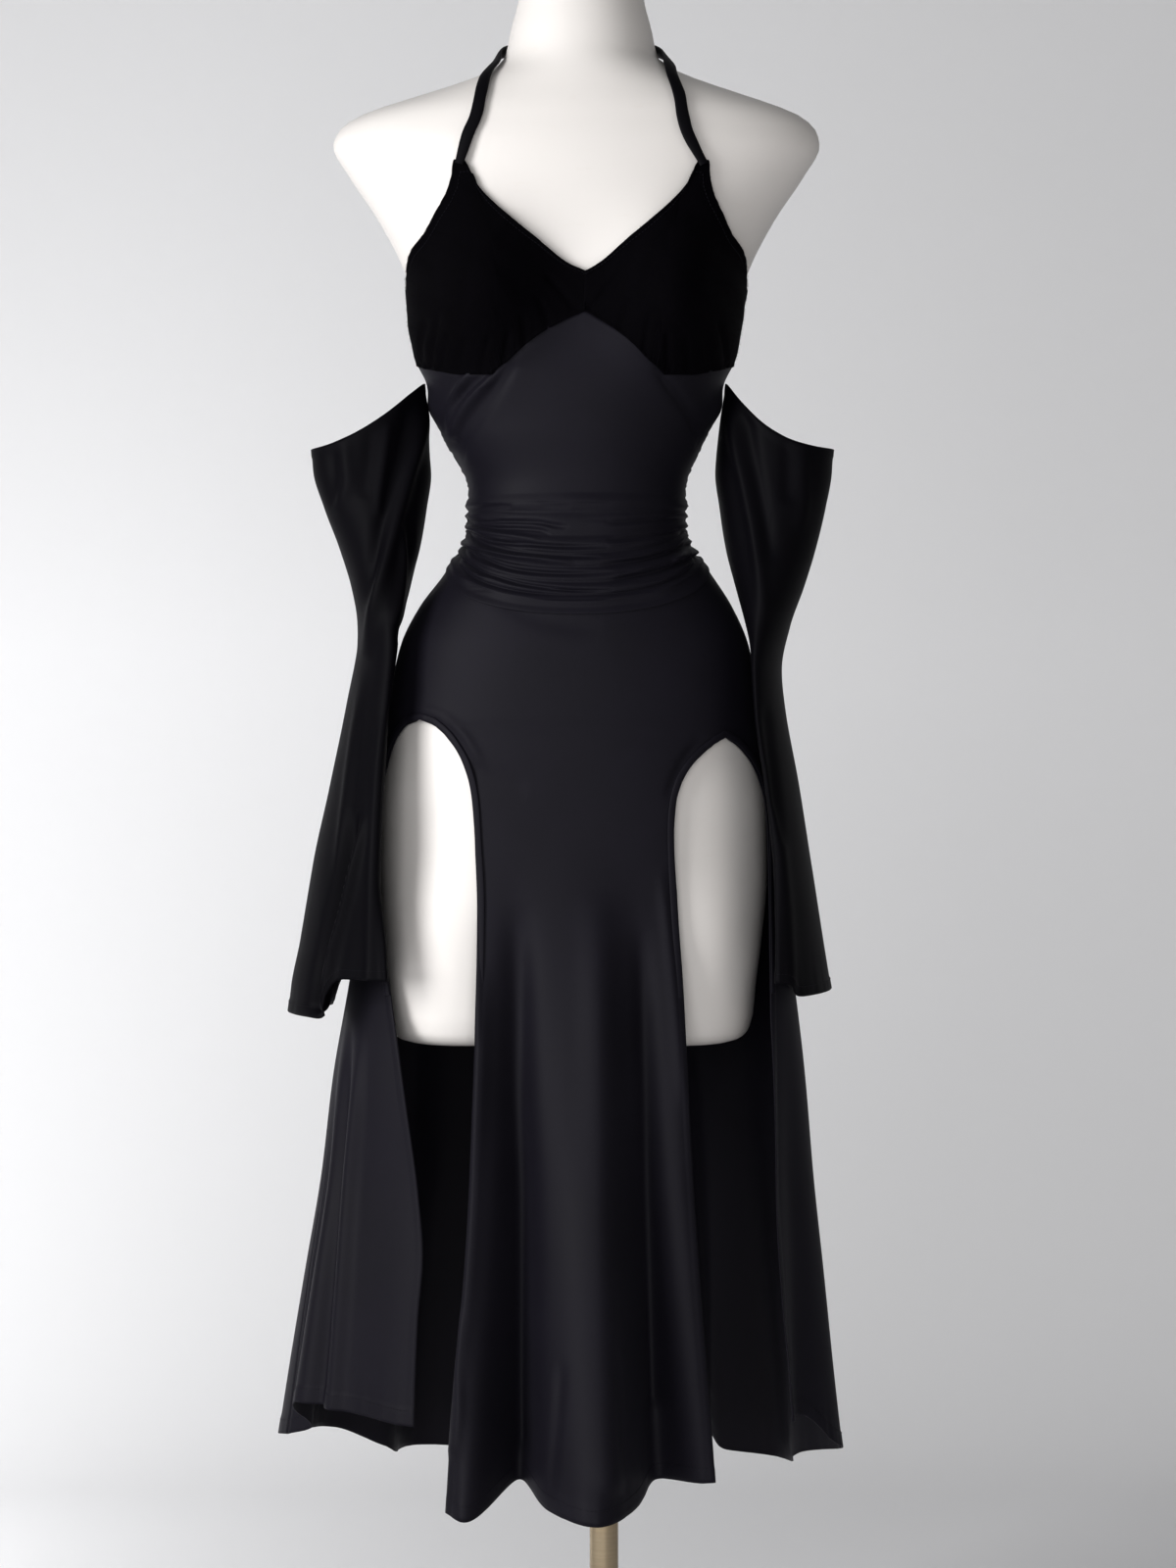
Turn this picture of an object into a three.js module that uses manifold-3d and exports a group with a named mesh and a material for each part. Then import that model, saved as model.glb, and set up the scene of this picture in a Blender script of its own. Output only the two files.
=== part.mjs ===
import * as THREE from 'three';
import Module from 'manifold-3d';
import { mergeVertices } from 'three/addons/utils/BufferGeometryUtils.js';

// A halter dress with bell sleeves and two arched slits, hung on a limbless dress form on a stand.
// Millimetres, +Z up, +X to the viewer's right, +Y away from the viewer.
// The origin is the middle of the base plate's underside, on the pole's axis.

// Driving sizes
const formShift = -20;
const wall = 1.6;
const clothGap = 2;
const seamGap = 0.3;
const outerOffset = clothGap + wall;
const bust = { x: 86, z: 1270, depth: 44, wide: 43, tall: 45 };
const clothBust = { x: 86, z: 1270, depth: 46, wide: 46, tall: 48 };
const pole = { radius: 12, foot: 3.3, top: 829.7, fit: 0.3 };
const base = { radius: 170, rim: 5, plate: 9, collarRadius: 24, collarTop: 46, floor: 3 };
const strap = { halfWidth: 4.6, halfThickness: 1.7, stand: 2.8, steps: 44, sides: 8 };
const edging = { width: 6, thickness: 1.3, lowest: 700 };
const sideAngle = 90;
const seamTurn = 0.1;
const cupSeam = 0.3;
const seamReach = 1;
const sideSeam = { axis: 'y', at: 0 };

// Level sections of the form: height, middle, half width, depth to the front and to the back, squareness
const formSections = [
  { z: 1545, mid: 1, half: 50, front: 46, back: 44, square: 2 },
  { z: 1521, mid: 1, half: 52, front: 49, back: 47, square: 2 },
  { z: 1497, mid: 1, half: 58, front: 55, back: 52, square: 2 },
  { z: 1472, mid: 1, half: 64, front: 61, back: 61, square: 2 },
  { z: 1460, mid: 3, half: 79, front: 65, back: 68, square: 2 },
  { z: 1448, mid: 3, half: 111, front: 69, back: 75, square: 1.95 },
  { z: 1436, mid: 2, half: 150, front: 73, back: 81, square: 1.9 },
  { z: 1424, mid: 0, half: 183, front: 77, back: 85, square: 1.9 },
  { z: 1412, mid: -2, half: 198, front: 80, back: 88, square: 1.9 },
  { z: 1400, mid: -3, half: 202, front: 83, back: 89, square: 1.95 },
  { z: 1375, mid: -3, half: 189, front: 87, back: 91, square: 2 },
  { z: 1339, mid: -3, half: 165, front: 90, back: 92, square: 2.1 },
  { z: 1302, mid: -3, half: 145.5, front: 91, back: 91, square: 2.2 },
  { z: 1282, mid: -3, half: 138.5, front: 90, back: 90, square: 2.25 },
  { z: 1262, mid: -4, half: 136.5, front: 90, back: 89, square: 2.3 },
  { z: 1228, mid: -4, half: 131, front: 90, back: 86, square: 2.3 },
  { z: 1203, mid: -4, half: 119.5, front: 90, back: 83, square: 2.3 },
  { z: 1162, mid: -4.5, half: 107, front: 86, back: 76, square: 2.2 },
  { z: 1115, mid: -2.5, half: 87, front: 79, back: 70, square: 2.2 },
  { z: 1084, mid: -3, half: 86.5, front: 79, back: 72, square: 2.2 },
  { z: 1063, mid: -2.5, half: 92, front: 82, back: 78, square: 2.2 },
  { z: 1045, mid: -3, half: 104, front: 86, back: 87, square: 2.2 },
  { z: 1017, mid: -4, half: 123, front: 90, back: 102, square: 2.2 },
  { z: 987, mid: -5, half: 137, front: 94, back: 114, square: 2.2 },
  { z: 951, mid: -5, half: 146, front: 96, back: 122, square: 2.2 },
  { z: 900, mid: -6, half: 156, front: 97, back: 125, square: 2.2 },
  { z: 850, mid: -5.5, half: 162, front: 96, back: 120, square: 2.2 },
  { z: 800, mid: -5.5, half: 162, front: 92, back: 110, square: 2.2 },
  { z: 740, mid: -7, half: 158.5, front: 88, back: 99, square: 2.2 },
  { z: 700, mid: -9, half: 155.5, front: 85, back: 93, square: 2.2 },
  { z: 657, mid: -9, half: 151.5, front: 82, back: 90, square: 2.2 },
];

// Where the form parts into two thigh stumps: height, middle of a thigh, reach to its inner side, shrink at the end
const thighSections = [
  { z: 1545, ridge: 0, inner: 2, shrink: 1 },
  { z: 850, ridge: 0, inner: 2, shrink: 1 },
  { z: 820, ridge: 18, inner: 20, shrink: 1 },
  { z: 790, ridge: 52, inner: 54, shrink: 1 },
  { z: 770, ridge: 70, inner: 66, shrink: 1 },
  { z: 740, ridge: 82, inner: 70, shrink: 1 },
  { z: 682, ridge: 84, inner: 66, shrink: 1 },
  { z: 668, ridge: 84, inner: 66, shrink: 0.97 },
  { z: 660, ridge: 84, inner: 66, shrink: 0.89 },
  { z: 657, ridge: 84, inner: 66, shrink: 0.76 },
];

// Level sections of the skirt before its flutes
const skirtSections = [
  { z: 1066, mid: -2, half: 97, front: 87, back: 83, square: 2.2 },
  { z: 1045, mid: -2, half: 111, front: 91, back: 93, square: 2.2 },
  { z: 1017, mid: -3.5, half: 130.5, front: 96, back: 108, square: 2.2 },
  { z: 987, mid: -4.5, half: 144.5, front: 100, back: 120, square: 2.2 },
  { z: 951, mid: -5, half: 152.5, front: 102, back: 128, square: 2.2 },
  { z: 900, mid: -6, half: 161, front: 103, back: 131, square: 2.2 },
  { z: 850, mid: -6, half: 168, front: 103, back: 129, square: 2.2 },
  { z: 780, mid: -6, half: 175, front: 106, back: 128, square: 2.2 },
  { z: 706, mid: -7, half: 185, front: 114, back: 136, square: 2.15 },
  { z: 624, mid: -9.5, half: 195.5, front: 124, back: 152, square: 2.1 },
  { z: 541, mid: -11, half: 202, front: 134, back: 170, square: 2 },
  { z: 459, mid: -13.5, half: 211, front: 145, back: 190, square: 2 },
  { z: 376, mid: -16, half: 219.5, front: 156, back: 210, square: 2 },
  { z: 270, mid: -18, half: 230, front: 170, back: 236, square: 2 },
];

// Flutes of the skirt: where they begin round the body, how far they drift by the hem, how far out they
// stand there, half their width, and the height from which they begin
const flutes = [
  { angle: -100, drift: 0, out: 17, wide: 11, from: 800 },
  { angle: -83, drift: 0, out: -20, wide: 5.5, from: 690 },
  { angle: -71, drift: 0, out: 13, wide: 8, from: 760 },
  { angle: -48, drift: 0, out: -6, wide: 10, from: 700 },
  { angle: -22, drift: 4, out: 18, wide: 4.5, from: 800 },
  { angle: -13.5, drift: 5, out: -34, wide: 4.3, from: 820 },
  { angle: 0, drift: 7, out: 40, wide: 8, from: 840 },
  { angle: 14, drift: 9.5, out: -34, wide: 5.5, from: 820 },
  { angle: 23, drift: 8, out: 10, wide: 4.5, from: 780 },
  { angle: 50, drift: 0, out: 10, wide: 8, from: 700 },
  { angle: 68, drift: 0, out: -14, wide: 7, from: 700 },
  { angle: 88, drift: 0, out: 12, wide: 9, from: 760 },
  { angle: 108, drift: 0, out: -16, wide: 8, from: 700 },
  { angle: 128, drift: 0, out: 17, wide: 8, from: 780 },
  { angle: 140, drift: 0, out: -15, wide: 6, from: 720 },
  { angle: 152, drift: 0, out: 22, wide: 7, from: 800 },
  { angle: 166, drift: 0, out: -20, wide: 7, from: 740 },
  { angle: 181, drift: 0, out: 18, wide: 8, from: 820 },
  { angle: 196, drift: 0, out: -18, wide: 7, from: 740 },
  { angle: 211, drift: 0, out: 20, wide: 8, from: 800 },
  { angle: 226, drift: 0, out: -18, wide: 7, from: 720 },
  { angle: 241, drift: 0, out: 8, wide: 6, from: 760 },
];

// Height of the skirt's hem round the body
const hemHeights = [
  { angle: -90, z: 324 }, { angle: -84, z: 332 }, { angle: -76, z: 352 }, { angle: -70, z: 363 },
  { angle: -36, z: 358 }, { angle: -35, z: 297 }, { angle: -24, z: 296 }, { angle: -17.5, z: 291 },
  { angle: -8.8, z: 315 }, { angle: -2, z: 300 }, { angle: 7, z: 294 }, { angle: 15, z: 300 },
  { angle: 23, z: 313 }, { angle: 31, z: 315 }, { angle: 35, z: 316 }, { angle: 36, z: 356 },
  { angle: 70, z: 350 }, { angle: 82, z: 322 }, { angle: 90, z: 312 }, { angle: 104, z: 298 },
  { angle: 112, z: 285 }, { angle: 127, z: 270 }, { angle: 138, z: 275 }, { angle: 144, z: 294 },
  { angle: 148, z: 297 }, { angle: 154, z: 288 }, { angle: 166, z: 273 }, { angle: 190, z: 268 },
  { angle: 206, z: 267 }, { angle: 220, z: 271 }, { angle: 228, z: 284 }, { angle: 238, z: 304 },
  { angle: 250, z: 312 }, { angle: 256, z: 314 }, { angle: 270, z: 324 },
];

// The two slits: height, and the places left to right of their inner and outer edges.
// Each begins in a round arch over the thigh and runs down to the hem.
const leftSlit = [
  { z: 924.3, inner: -130.3, outer: -130.3 }, { z: 920.3, inner: -119, outer: -142 },
  { z: 904.4, inner: -103, outer: -153.4 }, { z: 888.6, inner: -94.2, outer: -158.4 },
  { z: 872.9, inner: -89.3, outer: -162.6 }, { z: 857, inner: -86.9, outer: -166 },
  { z: 833, inner: -85.2, outer: -167.8 }, { z: 770, inner: -82.3, outer: -164.2 },
  { z: 714, inner: -82.5, outer: -156.2 }, { z: 616, inner: -84.5, outer: -141.7 },
  { z: 535, inner: -87, outer: -130 }, { z: 493, inner: -89, outer: -126.5 },
  { z: 440, inner: -93, outer: -130.5 }, { z: 370, inner: -100, outer: -132.7 },
  { z: 290, inner: -105, outer: -133 },
];
const rightSlit = [
  { z: 909.8, inner: 118.3, outer: 118.3 }, { z: 904.4, inner: 109, outer: 127.4 },
  { z: 888.6, inner: 91.6, outer: 141.1 }, { z: 872.9, inner: 82, outer: 148.5 },
  { z: 857, inner: 77.8, outer: 152.8 }, { z: 833, inner: 76.2, outer: 155 },
  { z: 770, inner: 79, outer: 155.6 }, { z: 714, inner: 83, outer: 156 },
  { z: 616, inner: 87.4, outer: 157 }, { z: 535, inner: 91.5, outer: 158.2 },
  { z: 493, inner: 94, outer: 160.5 }, { z: 440, inner: 97.5, outer: 164 },
  { z: 370, inner: 102.5, outer: 166.5 }, { z: 290, inner: 107, outer: 168 },
];

// Edges of a cup, from the centre front round to the side seam
const cupEdges = [
  { angle: 0.2, top: 1286, foot: 1256 }, { angle: 5, top: 1294, foot: 1248 },
  { angle: 12, top: 1310, foot: 1237 }, { angle: 19, top: 1328, foot: 1224 },
  { angle: 23.5, top: 1346, foot: 1216 }, { angle: 26, top: 1363, foot: 1212.8 },
  { angle: 27, top: 1378, foot: 1211.5 }, { angle: 29.6, top: 1378, foot: 1208.1 },
  { angle: 32, top: 1366, foot: 1205 }, { angle: 38, top: 1349, foot: 1205.4 },
  { angle: 47, top: 1332, foot: 1206 }, { angle: 58, top: 1316, foot: 1209.4 },
  { angle: 70, top: 1300, foot: 1213 }, { angle: 80, top: 1288, foot: 1216 },
  { angle: 90, top: 1281, foot: 1219 },
];
const frontCentreAngle = 2.2;

// Rows of the midriff below the cups: height at the side and at the centre, and how far a fold stands out
const midriffRows = [
  { side: 1186, centre: 1194, out: 0 }, { side: 1154, centre: 1160, out: 0 },
  { side: 1126, centre: 1134, out: 0 }, { side: 1108, centre: 1109, out: 0 },
  { side: 1101, centre: 1101, out: 2.2 }, { side: 1097, centre: 1093, out: 0 },
  { side: 1093, centre: 1084, out: 2.4 }, { side: 1089.5, centre: 1074, out: 0 },
  { side: 1086, centre: 1065, out: 2.6 }, { side: 1082.5, centre: 1059.5, out: 0.2 },
  { side: 1079, centre: 1054, out: 2.6 }, { side: 1075.5, centre: 1048, out: 0.2 },
  { side: 1072, centre: 1042, out: 3 }, { side: 1069, centre: 1036, out: 0.4 },
  { side: 1066, centre: 1030, out: 3.6 }, { side: 1063, centre: 1025.5, out: 0.8 },
  { side: 1060, centre: 1021, out: 4.4 }, { side: 1056.5, centre: 1016, out: 1.2 },
];

// Level sections of the sleeves, each a bent oval from a back end to a front end
const leftSleeve = [
  { z: 1205, frontX: -178, midX: -178.5, backX: -177.5, frontY: -44, backY: 42, half: 49 },
  { z: 1131, frontX: -172, midX: -173, backX: -172, frontY: -52, backY: 44, half: 49 },
  { z: 1099, frontX: -167, midX: -170, backX: -170, frontY: -57, backY: 45, half: 42.5 },
  { z: 1066, frontX: -161, midX: -166.5, backX: -168, frontY: -62, backY: 46, half: 33.5 },
  { z: 1034, frontX: -157, midX: -165, backX: -168, frontY: -68, backY: 46, half: 25 },
  { z: 989, frontX: -154, midX: -168.5, backX: -171, frontY: -76, backY: 46, half: 15.5 },
  { z: 935, frontX: -158, midX: -178.5, backX: -180, frontY: -86, backY: 44, half: 14.5 },
  { z: 870, frontX: -164, midX: -190, backX: -192, frontY: -95, backY: 44, half: 16 },
  { z: 804, frontX: -166, midX: -199.5, backX: -203, frontY: -102, backY: 46, half: 20 },
  { z: 739, frontX: -159, midX: -207.5, backX: -214, frontY: -108, backY: 52, half: 21 },
  { z: 700, frontX: -157, midX: -214.5, backX: -220, frontY: -112, backY: 57, half: 21 },
  { z: 670, frontX: -156, midX: -216, backX: -224, frontY: -114, backY: 60, half: 22.5 },
];
const rightSleeve = [
  { z: 1205, frontX: 169, midX: 169.5, backX: 168.5, frontY: -44, backY: 42, half: 48 },
  { z: 1131, frontX: 161, midX: 161, backX: 160, frontY: -52, backY: 44, half: 48.5 },
  { z: 1099, frontX: 158, midX: 160, backX: 160, frontY: -57, backY: 44, half: 44 },
  { z: 1066, frontX: 155, midX: 158.5, backX: 159, frontY: -62, backY: 44, half: 37.5 },
  { z: 1034, frontX: 151, midX: 157.5, backX: 158, frontY: -70, backY: 42, half: 28.5 },
  { z: 1001, frontX: 146, midX: 156, backX: 157, frontY: -78, backY: 38, half: 18 },
  { z: 968, frontX: 142, midX: 156, backX: 158, frontY: -86, backY: 32, half: 10.5 },
  { z: 935, frontX: 143, midX: 159, backX: 162, frontY: -92, backY: 30, half: 9.5 },
  { z: 870, frontX: 152, midX: 169.5, backX: 173, frontY: -98, backY: 32, half: 10.5 },
  { z: 804, frontX: 160, midX: 179, backX: 182, frontY: -104, backY: 36, half: 11.5 },
  { z: 755, frontX: 160, midX: 185, backX: 189, frontY: -108, backY: 40, half: 12.5 },
  { z: 690, frontX: 160, midX: 192, backX: 198, frontY: -112, backY: 46, half: 15 },
];
const sleeveTop = { inner: 1203, drop: 55, leftBend: 1.7, rightBend: 2.4 };
const sleeveHem = { left: 690, right: 708, leftSlope: 23, rightSlope: 8 };

// The strap's way from the left cup's point, round the back of the neck, to the right cup's point
const strapRoute = [
  { angle: -28.2, z: 1378.9 }, { angle: -26, z: 1397 }, { angle: -25.5, z: 1413 }, { angle: -29.8, z: 1430 },
  { angle: -44, z: 1447 }, { angle: -65, z: 1461 }, { angle: -88, z: 1474 }, { angle: -118, z: 1483 },
  { angle: -150, z: 1488 }, { angle: -180, z: 1490 }, { angle: -210, z: 1488 }, { angle: -242, z: 1483 },
  { angle: -272, z: 1474 }, { angle: -299, z: 1461 }, { angle: -321, z: 1447 }, { angle: -331, z: 1430 },
  { angle: -333.5, z: 1413 }, { angle: -333, z: 1397 }, { angle: -331.8, z: 1378.9 },
];

// Finishes
const jersey = new THREE.MeshStandardMaterial({ color: 0x17161c, roughness: 0.72, metalness: 0 });
const velvet = new THREE.MeshStandardMaterial({ color: 0x0e0d14, roughness: 0.9, metalness: 0 });
const formPaint = new THREE.MeshStandardMaterial({ color: 0xf1ede8, roughness: 0.5, metalness: 0 });
const brass = new THREE.MeshStandardMaterial({ color: 0xb79e78, roughness: 0.3, metalness: 1 });

const radians = THREE.MathUtils.degToRad;
const lerp = THREE.MathUtils.lerp;
const clamp = THREE.MathUtils.clamp;

// The slope of a table's column at a row, held flat at a peak so that no curve overshoots
function slopeAt(rows, key, column, i) {
  if (i === 0 || i === rows.length - 1) {
    const near = i === 0 ? 1 : i - 1;
    return (rows[near][column] - rows[i][column]) / (rows[near][key] - rows[i][key]);
  }
  const before = (rows[i][column] - rows[i - 1][column]) / (rows[i][key] - rows[i - 1][key]);
  const after = (rows[i + 1][column] - rows[i][column]) / (rows[i + 1][key] - rows[i][key]);
  return before * after <= 0 ? 0 : (2 * before * after) / (before + after);
}

// A smooth value from a table whose key column runs steadily up or down
function valueAt(rows, key, column, at) {
  const rising = rows[rows.length - 1][key] > rows[0][key];
  let i = 0;
  while (i < rows.length - 2 && (rising ? at > rows[i + 1][key] : at < rows[i + 1][key])) {
    i += 1;
  }
  const span = rows[i + 1][key] - rows[i][key];
  const t = clamp((at - rows[i][key]) / span, 0, 1);
  const startSlope = slopeAt(rows, key, column, i) * span;
  const endSlope = slopeAt(rows, key, column, i + 1) * span;
  const start = rows[i][column];
  const end = rows[i + 1][column];
  return (2 * t ** 3 - 3 * t ** 2 + 1) * start + (t ** 3 - 2 * t ** 2 + t) * startSlope
    + (3 * t ** 2 - 2 * t ** 3) * end + (t ** 3 - t ** 2) * endSlope;
}

function sectionAt(rows, z) {
  const section = {};
  for (const column of Object.keys(rows[0])) {
    section[column] = column === 'z' ? z : valueAt(rows, 'z', column, z);
  }
  return section;
}

// A point of a section's outline. The angle is 0 at the front and grows towards the viewer's right.
function outlinePoint(section, angle) {
  const sine = Math.sin(radians(angle));
  const cosine = Math.cos(radians(angle));
  const power = 2 / section.square;
  const across = section.half * Math.sign(sine) * Math.abs(sine) ** power;
  const depth = cosine > 0 ? -section.front : section.back;
  return new THREE.Vector3(section.mid + across, depth * Math.abs(cosine) ** power, section.z);
}

function bustDepth(shape, x, z) {
  const upper = z > shape.z ? 1.25 : 1;
  const fall = Math.exp(-(((z - shape.z) / (shape.tall * upper)) ** 2));
  const left = Math.exp(-(((x + shape.x) / shape.wide) ** 2));
  const right = Math.exp(-(((x - shape.x) / shape.wide) ** 2));
  return shape.depth * fall * (left + right);
}

function formPoint(angle, z, shape = bust) {
  const point = outlinePoint(sectionAt(formSections, z), angle);
  const facing = Math.max(0, Math.cos(radians(angle)));
  point.y -= bustDepth(shape, point.x, z) * Math.sqrt(facing);
  return point;
}

// The form as the cloth over it sees it, with the hollow between the cups bridged a little
function underCloth(angle, z) {
  return formPoint(angle, z, clothBust);
}

// How far the skirt's flutes push its cloth out at one place
function fluteDepth(angle, z) {
  let depth = 0;
  for (const flute of flutes) {
    const fall = clamp((flute.from - z) / (flute.from - 300), 0, 1.1);
    const middle = flute.angle + flute.drift * fall;
    const turn = THREE.MathUtils.euclideanModulo(angle - middle + 180, 360) - 180;
    depth += flute.out * fall ** 1.3 * Math.exp(-((turn / flute.wide) ** 2));
  }
  return depth;
}

function skirtBase(angle, z) {
  return outlinePoint(sectionAt(skirtSections, z), angle);
}

// The outward direction of a surface that is given by angle and height
function outwardAt(surface, angle, z) {
  const across = surface(angle + 2, z).sub(surface(angle - 2, z));
  const down = surface(angle, z - 3).sub(surface(angle, z + 3));
  return down.cross(across).normalize();
}

function standOff(surface, angle, z, out) {
  return surface(angle, z).addScaledVector(outwardAt(surface, angle, z), out);
}

// The same at an unchanged height, further out where the surface slopes
function levelStandOff(surface, angle, z, out) {
  const outward = outwardAt(surface, angle, z);
  const level = Math.max(0.7, Math.hypot(outward.x, outward.y));
  return surface(angle, z).addScaledVector(outward.setZ(0).normalize(), out / level);
}

function bodicePoint(angle, z, out = 0) {
  return levelStandOff(underCloth, angle, z, outerOffset + out);
}

function skirtPoint(angle, z, out = 0) {
  return levelStandOff(skirtBase, angle, z, fluteDepth(angle, z) + out);
}

// The angle at which the skirt lies a given way to the left or right of the form's centre plane
function skirtAngle(x, z) {
  const section = sectionAt(skirtSections, z);
  const share = clamp((x - section.mid) / section.half, -1, 1);
  const sine = Math.abs(share) ** (section.square / 2);
  return Math.sign(share) * THREE.MathUtils.radToDeg(Math.asin(sine));
}

function makeMesh(name, positions, triangles, material) {
  const geometry = new THREE.BufferGeometry();
  geometry.setAttribute('position', new THREE.Float32BufferAttribute(positions, 3));
  geometry.setIndex(triangles);
  geometry.computeVertexNormals();
  const mesh = new THREE.Mesh(geometry, material);
  mesh.name = name;
  return mesh;
}

// The average outward direction at each point of a sheet of four-sided cells
function sheetNormals(points, cells) {
  const normals = points.map(() => new THREE.Vector3());
  for (const [a, b, c, d] of cells) {
    const across = points[c].clone().sub(points[a]);
    const along = points[d].clone().sub(points[b]);
    const normal = across.cross(along);
    [a, b, c, d].forEach((corner) => normals[corner].add(normal));
  }
  return normals.map((normal) => normal.normalize());
}

// The edges of a sheet that only one cell uses
function freeEdges(cells) {
  const edges = new Map();
  for (const cell of cells) {
    cell.forEach((from, i) => edges.set(`${from} ${cell[(i + 1) % 4]}`, [from, cell[(i + 1) % 4]]));
  }
  return [...edges.values()].filter(([from, to]) => !edges.has(`${to} ${from}`));
}

// A cloth wall: the sheet's outer points with their raised folds, a plain inside, and a rim on free edges.
// Along an upright seam the inside stays in the seam's plane, and along a level one at its height.
function clothWall(name, sheet, material) {
  const { points, cells, raised, seams = [], levelPoints = [] } = sheet;
  const normals = sheetNormals(points, cells);
  levelPoints.forEach((i) => normals[i].setZ(0).normalize());
  seams.forEach(({ axis, at }) => normals.forEach((normal, i) => {
    if (Math.abs(points[i][axis] - at) < seamReach) {
      normal[axis] = 0;
      normal.normalize();
    }
  }));
  const outer = points.map((point, i) => point.clone().addScaledVector(normals[i], raised[i] ?? 0));
  const inner = points.map((point, i) => point.clone().addScaledVector(normals[i], -wall));
  const positions = [...outer, ...inner].flatMap((point) => point.toArray());
  const behind = points.length;
  const triangles = [];
  for (const [a, b, c, d] of cells) {
    triangles.push(a, b, c, a, c, d);
    triangles.push(a + behind, c + behind, b + behind, a + behind, d + behind, c + behind);
  }
  for (const [from, to] of freeEdges(cells)) {
    triangles.push(to, from, from + behind, to, from + behind, to + behind);
  }
  return makeMesh(name, positions, triangles, material);
}

// A sheet of rows and columns. Columns run to the viewer's right round the front, and rows run down.
function gridSheet(rowCount, columnCount, pointAt, options = {}) {
  const points = [];
  const raised = [];
  const levelPoints = [];
  const cells = [];
  for (let row = 0; row <= rowCount; row += 1) {
    for (let column = 0; column < columnCount + (options.round ? 0 : 1); column += 1) {
      if (options.levelRows?.includes(row)) {
        levelPoints.push(points.length);
      }
      points.push(pointAt(row, column));
      raised.push(options.raisedAt ? options.raisedAt(row, column) : 0);
    }
  }
  const perRow = columnCount + (options.round ? 0 : 1);
  for (let row = 0; row < rowCount; row += 1) {
    for (let column = 0; column < columnCount; column += 1) {
      const next = (column + 1) % perRow;
      const below = (row + 1) * perRow;
      cells.push([row * perRow + column, below + column, below + next, row * perRow + next]);
    }
  }
  return { points, raised, cells, levelPoints, seams: options.seams };
}

// A closed skin through rings of points, with a flat cap on each end
function ringSkin(name, rings, material) {
  const count = rings[0].length;
  const positions = rings.flat().flatMap((point) => point.toArray());
  const triangles = [];
  for (let ring = 0; ring < rings.length - 1; ring += 1) {
    for (let i = 0; i < count; i += 1) {
      const next = (i + 1) % count;
      const here = ring * count;
      triangles.push(here + i, here + count + i, here + count + next);
      triangles.push(here + i, here + count + next, here + next);
    }
  }
  for (const [ring, turned] of [[0, false], [rings.length - 1, true]]) {
    const centre = positions.length / 3;
    const middle = new THREE.Vector3();
    rings[ring].forEach((point) => middle.add(point));
    positions.push(...middle.divideScalar(count).toArray());
    for (let i = 0; i < count; i += 1) {
      const here = ring * count + i;
      const next = ring * count + ((i + 1) % count);
      triangles.push(centre, turned ? next : here, turned ? here : next);
    }
  }
  return makeMesh(name, positions, triangles, material);
}

const wasm = await Module();
wasm.setup();

function toSolid(geometry) {
  const bare = geometry.clone();
  bare.deleteAttribute('normal');
  bare.deleteAttribute('uv');
  const merged = mergeVertices(bare, 1e-4);
  return new wasm.Manifold(new wasm.Mesh({
    numProp: 3,
    vertProperties: Float32Array.from(merged.attributes.position.array),
    triVerts: Uint32Array.from(merged.index.array),
  }));
}

function fromSolid(name, solid, material) {
  const { vertProperties, triVerts } = solid.getMesh();
  return makeMesh(name, Array.from(vertProperties), Array.from(triVerts), material);
}

// One half of the form. Its outer side is the form's section and its inner side is a thigh's,
// which above the crotch only reaches a little past the centre plane.
const bustLevels = [1357, 1320, 1285, 1243, 1226, 1184, 1145, 1130, 1100, 1054, 1030, 1002, 970];

function formHalf(side) {
  const outerSteps = 12;
  const innerSteps = 6;
  const heights = [...formSections, ...thighSections].map((row) => row.z).concat(bustLevels);
  const ordered = [...new Set(heights)].sort((a, b) => b - a);
  const rings = ordered.map((z) => {
    const thigh = sectionAt(thighSections, z);
    const whole = sectionAt(formSections, z);
    const ring = [];
    for (let step = 0; step < outerSteps; step += 1) {
      const point = formPoint((side * 180 * step) / outerSteps, z);
      const reach = (point.x - whole.mid) * side / whole.half;
      const across = thigh.ridge + (whole.half - thigh.ridge) * reach;
      ring.push(new THREE.Vector3(whole.mid + side * across, point.y, z));
    }
    for (let step = 0; step < innerSteps; step += 1) {
      const turn = Math.PI * (1 + step / innerSteps);
      const across = thigh.ridge + thigh.inner * Math.sin(turn);
      const depth = Math.cos(turn) > 0 ? whole.front : whole.back;
      ring.push(new THREE.Vector3(whole.mid + side * across, -depth * Math.cos(turn), z));
    }
    const middle = whole.mid + side * thigh.ridge;
    ring.forEach((point) => {
      point.x = middle + (point.x - middle) * thigh.shrink;
      point.y *= thigh.shrink;
    });
    return side > 0 ? ring : ring.reverse();
  });
  return ringSkin('half', rings, formPaint);
}

function formBody() {
  const bore = new THREE.CylinderGeometry(pole.radius + pole.fit, pole.radius + pole.fit, 400, 32);
  bore.rotateX(Math.PI / 2);
  bore.translate(-formShift, 0, pole.top + pole.fit - 200);
  const whole = toSolid(formHalf(-1).geometry).add(toSolid(formHalf(1).geometry));
  return fromSolid('form_body', whole.subtract(toSolid(bore)), formPaint);
}

// A cup: a smooth shaped panel from the seam under the bust to the neckline and armhole
function cup(name, side) {
  const rows = 9;
  const columns = cupEdges.length - 1;
  const edgeAt = (column) => cupEdges[side > 0 ? column : columns - column];
  return clothWall(name, gridSheet(rows, columns, (row, column) => {
    const edge = edgeAt(column);
    const z = lerp(edge.top, edge.foot + seamGap, row / rows);
    return bodicePoint(cupAngle(side, edge.angle), z);
  }, { seams: [sideSeam], levelRows: [rows] }), velvet);
}

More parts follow.
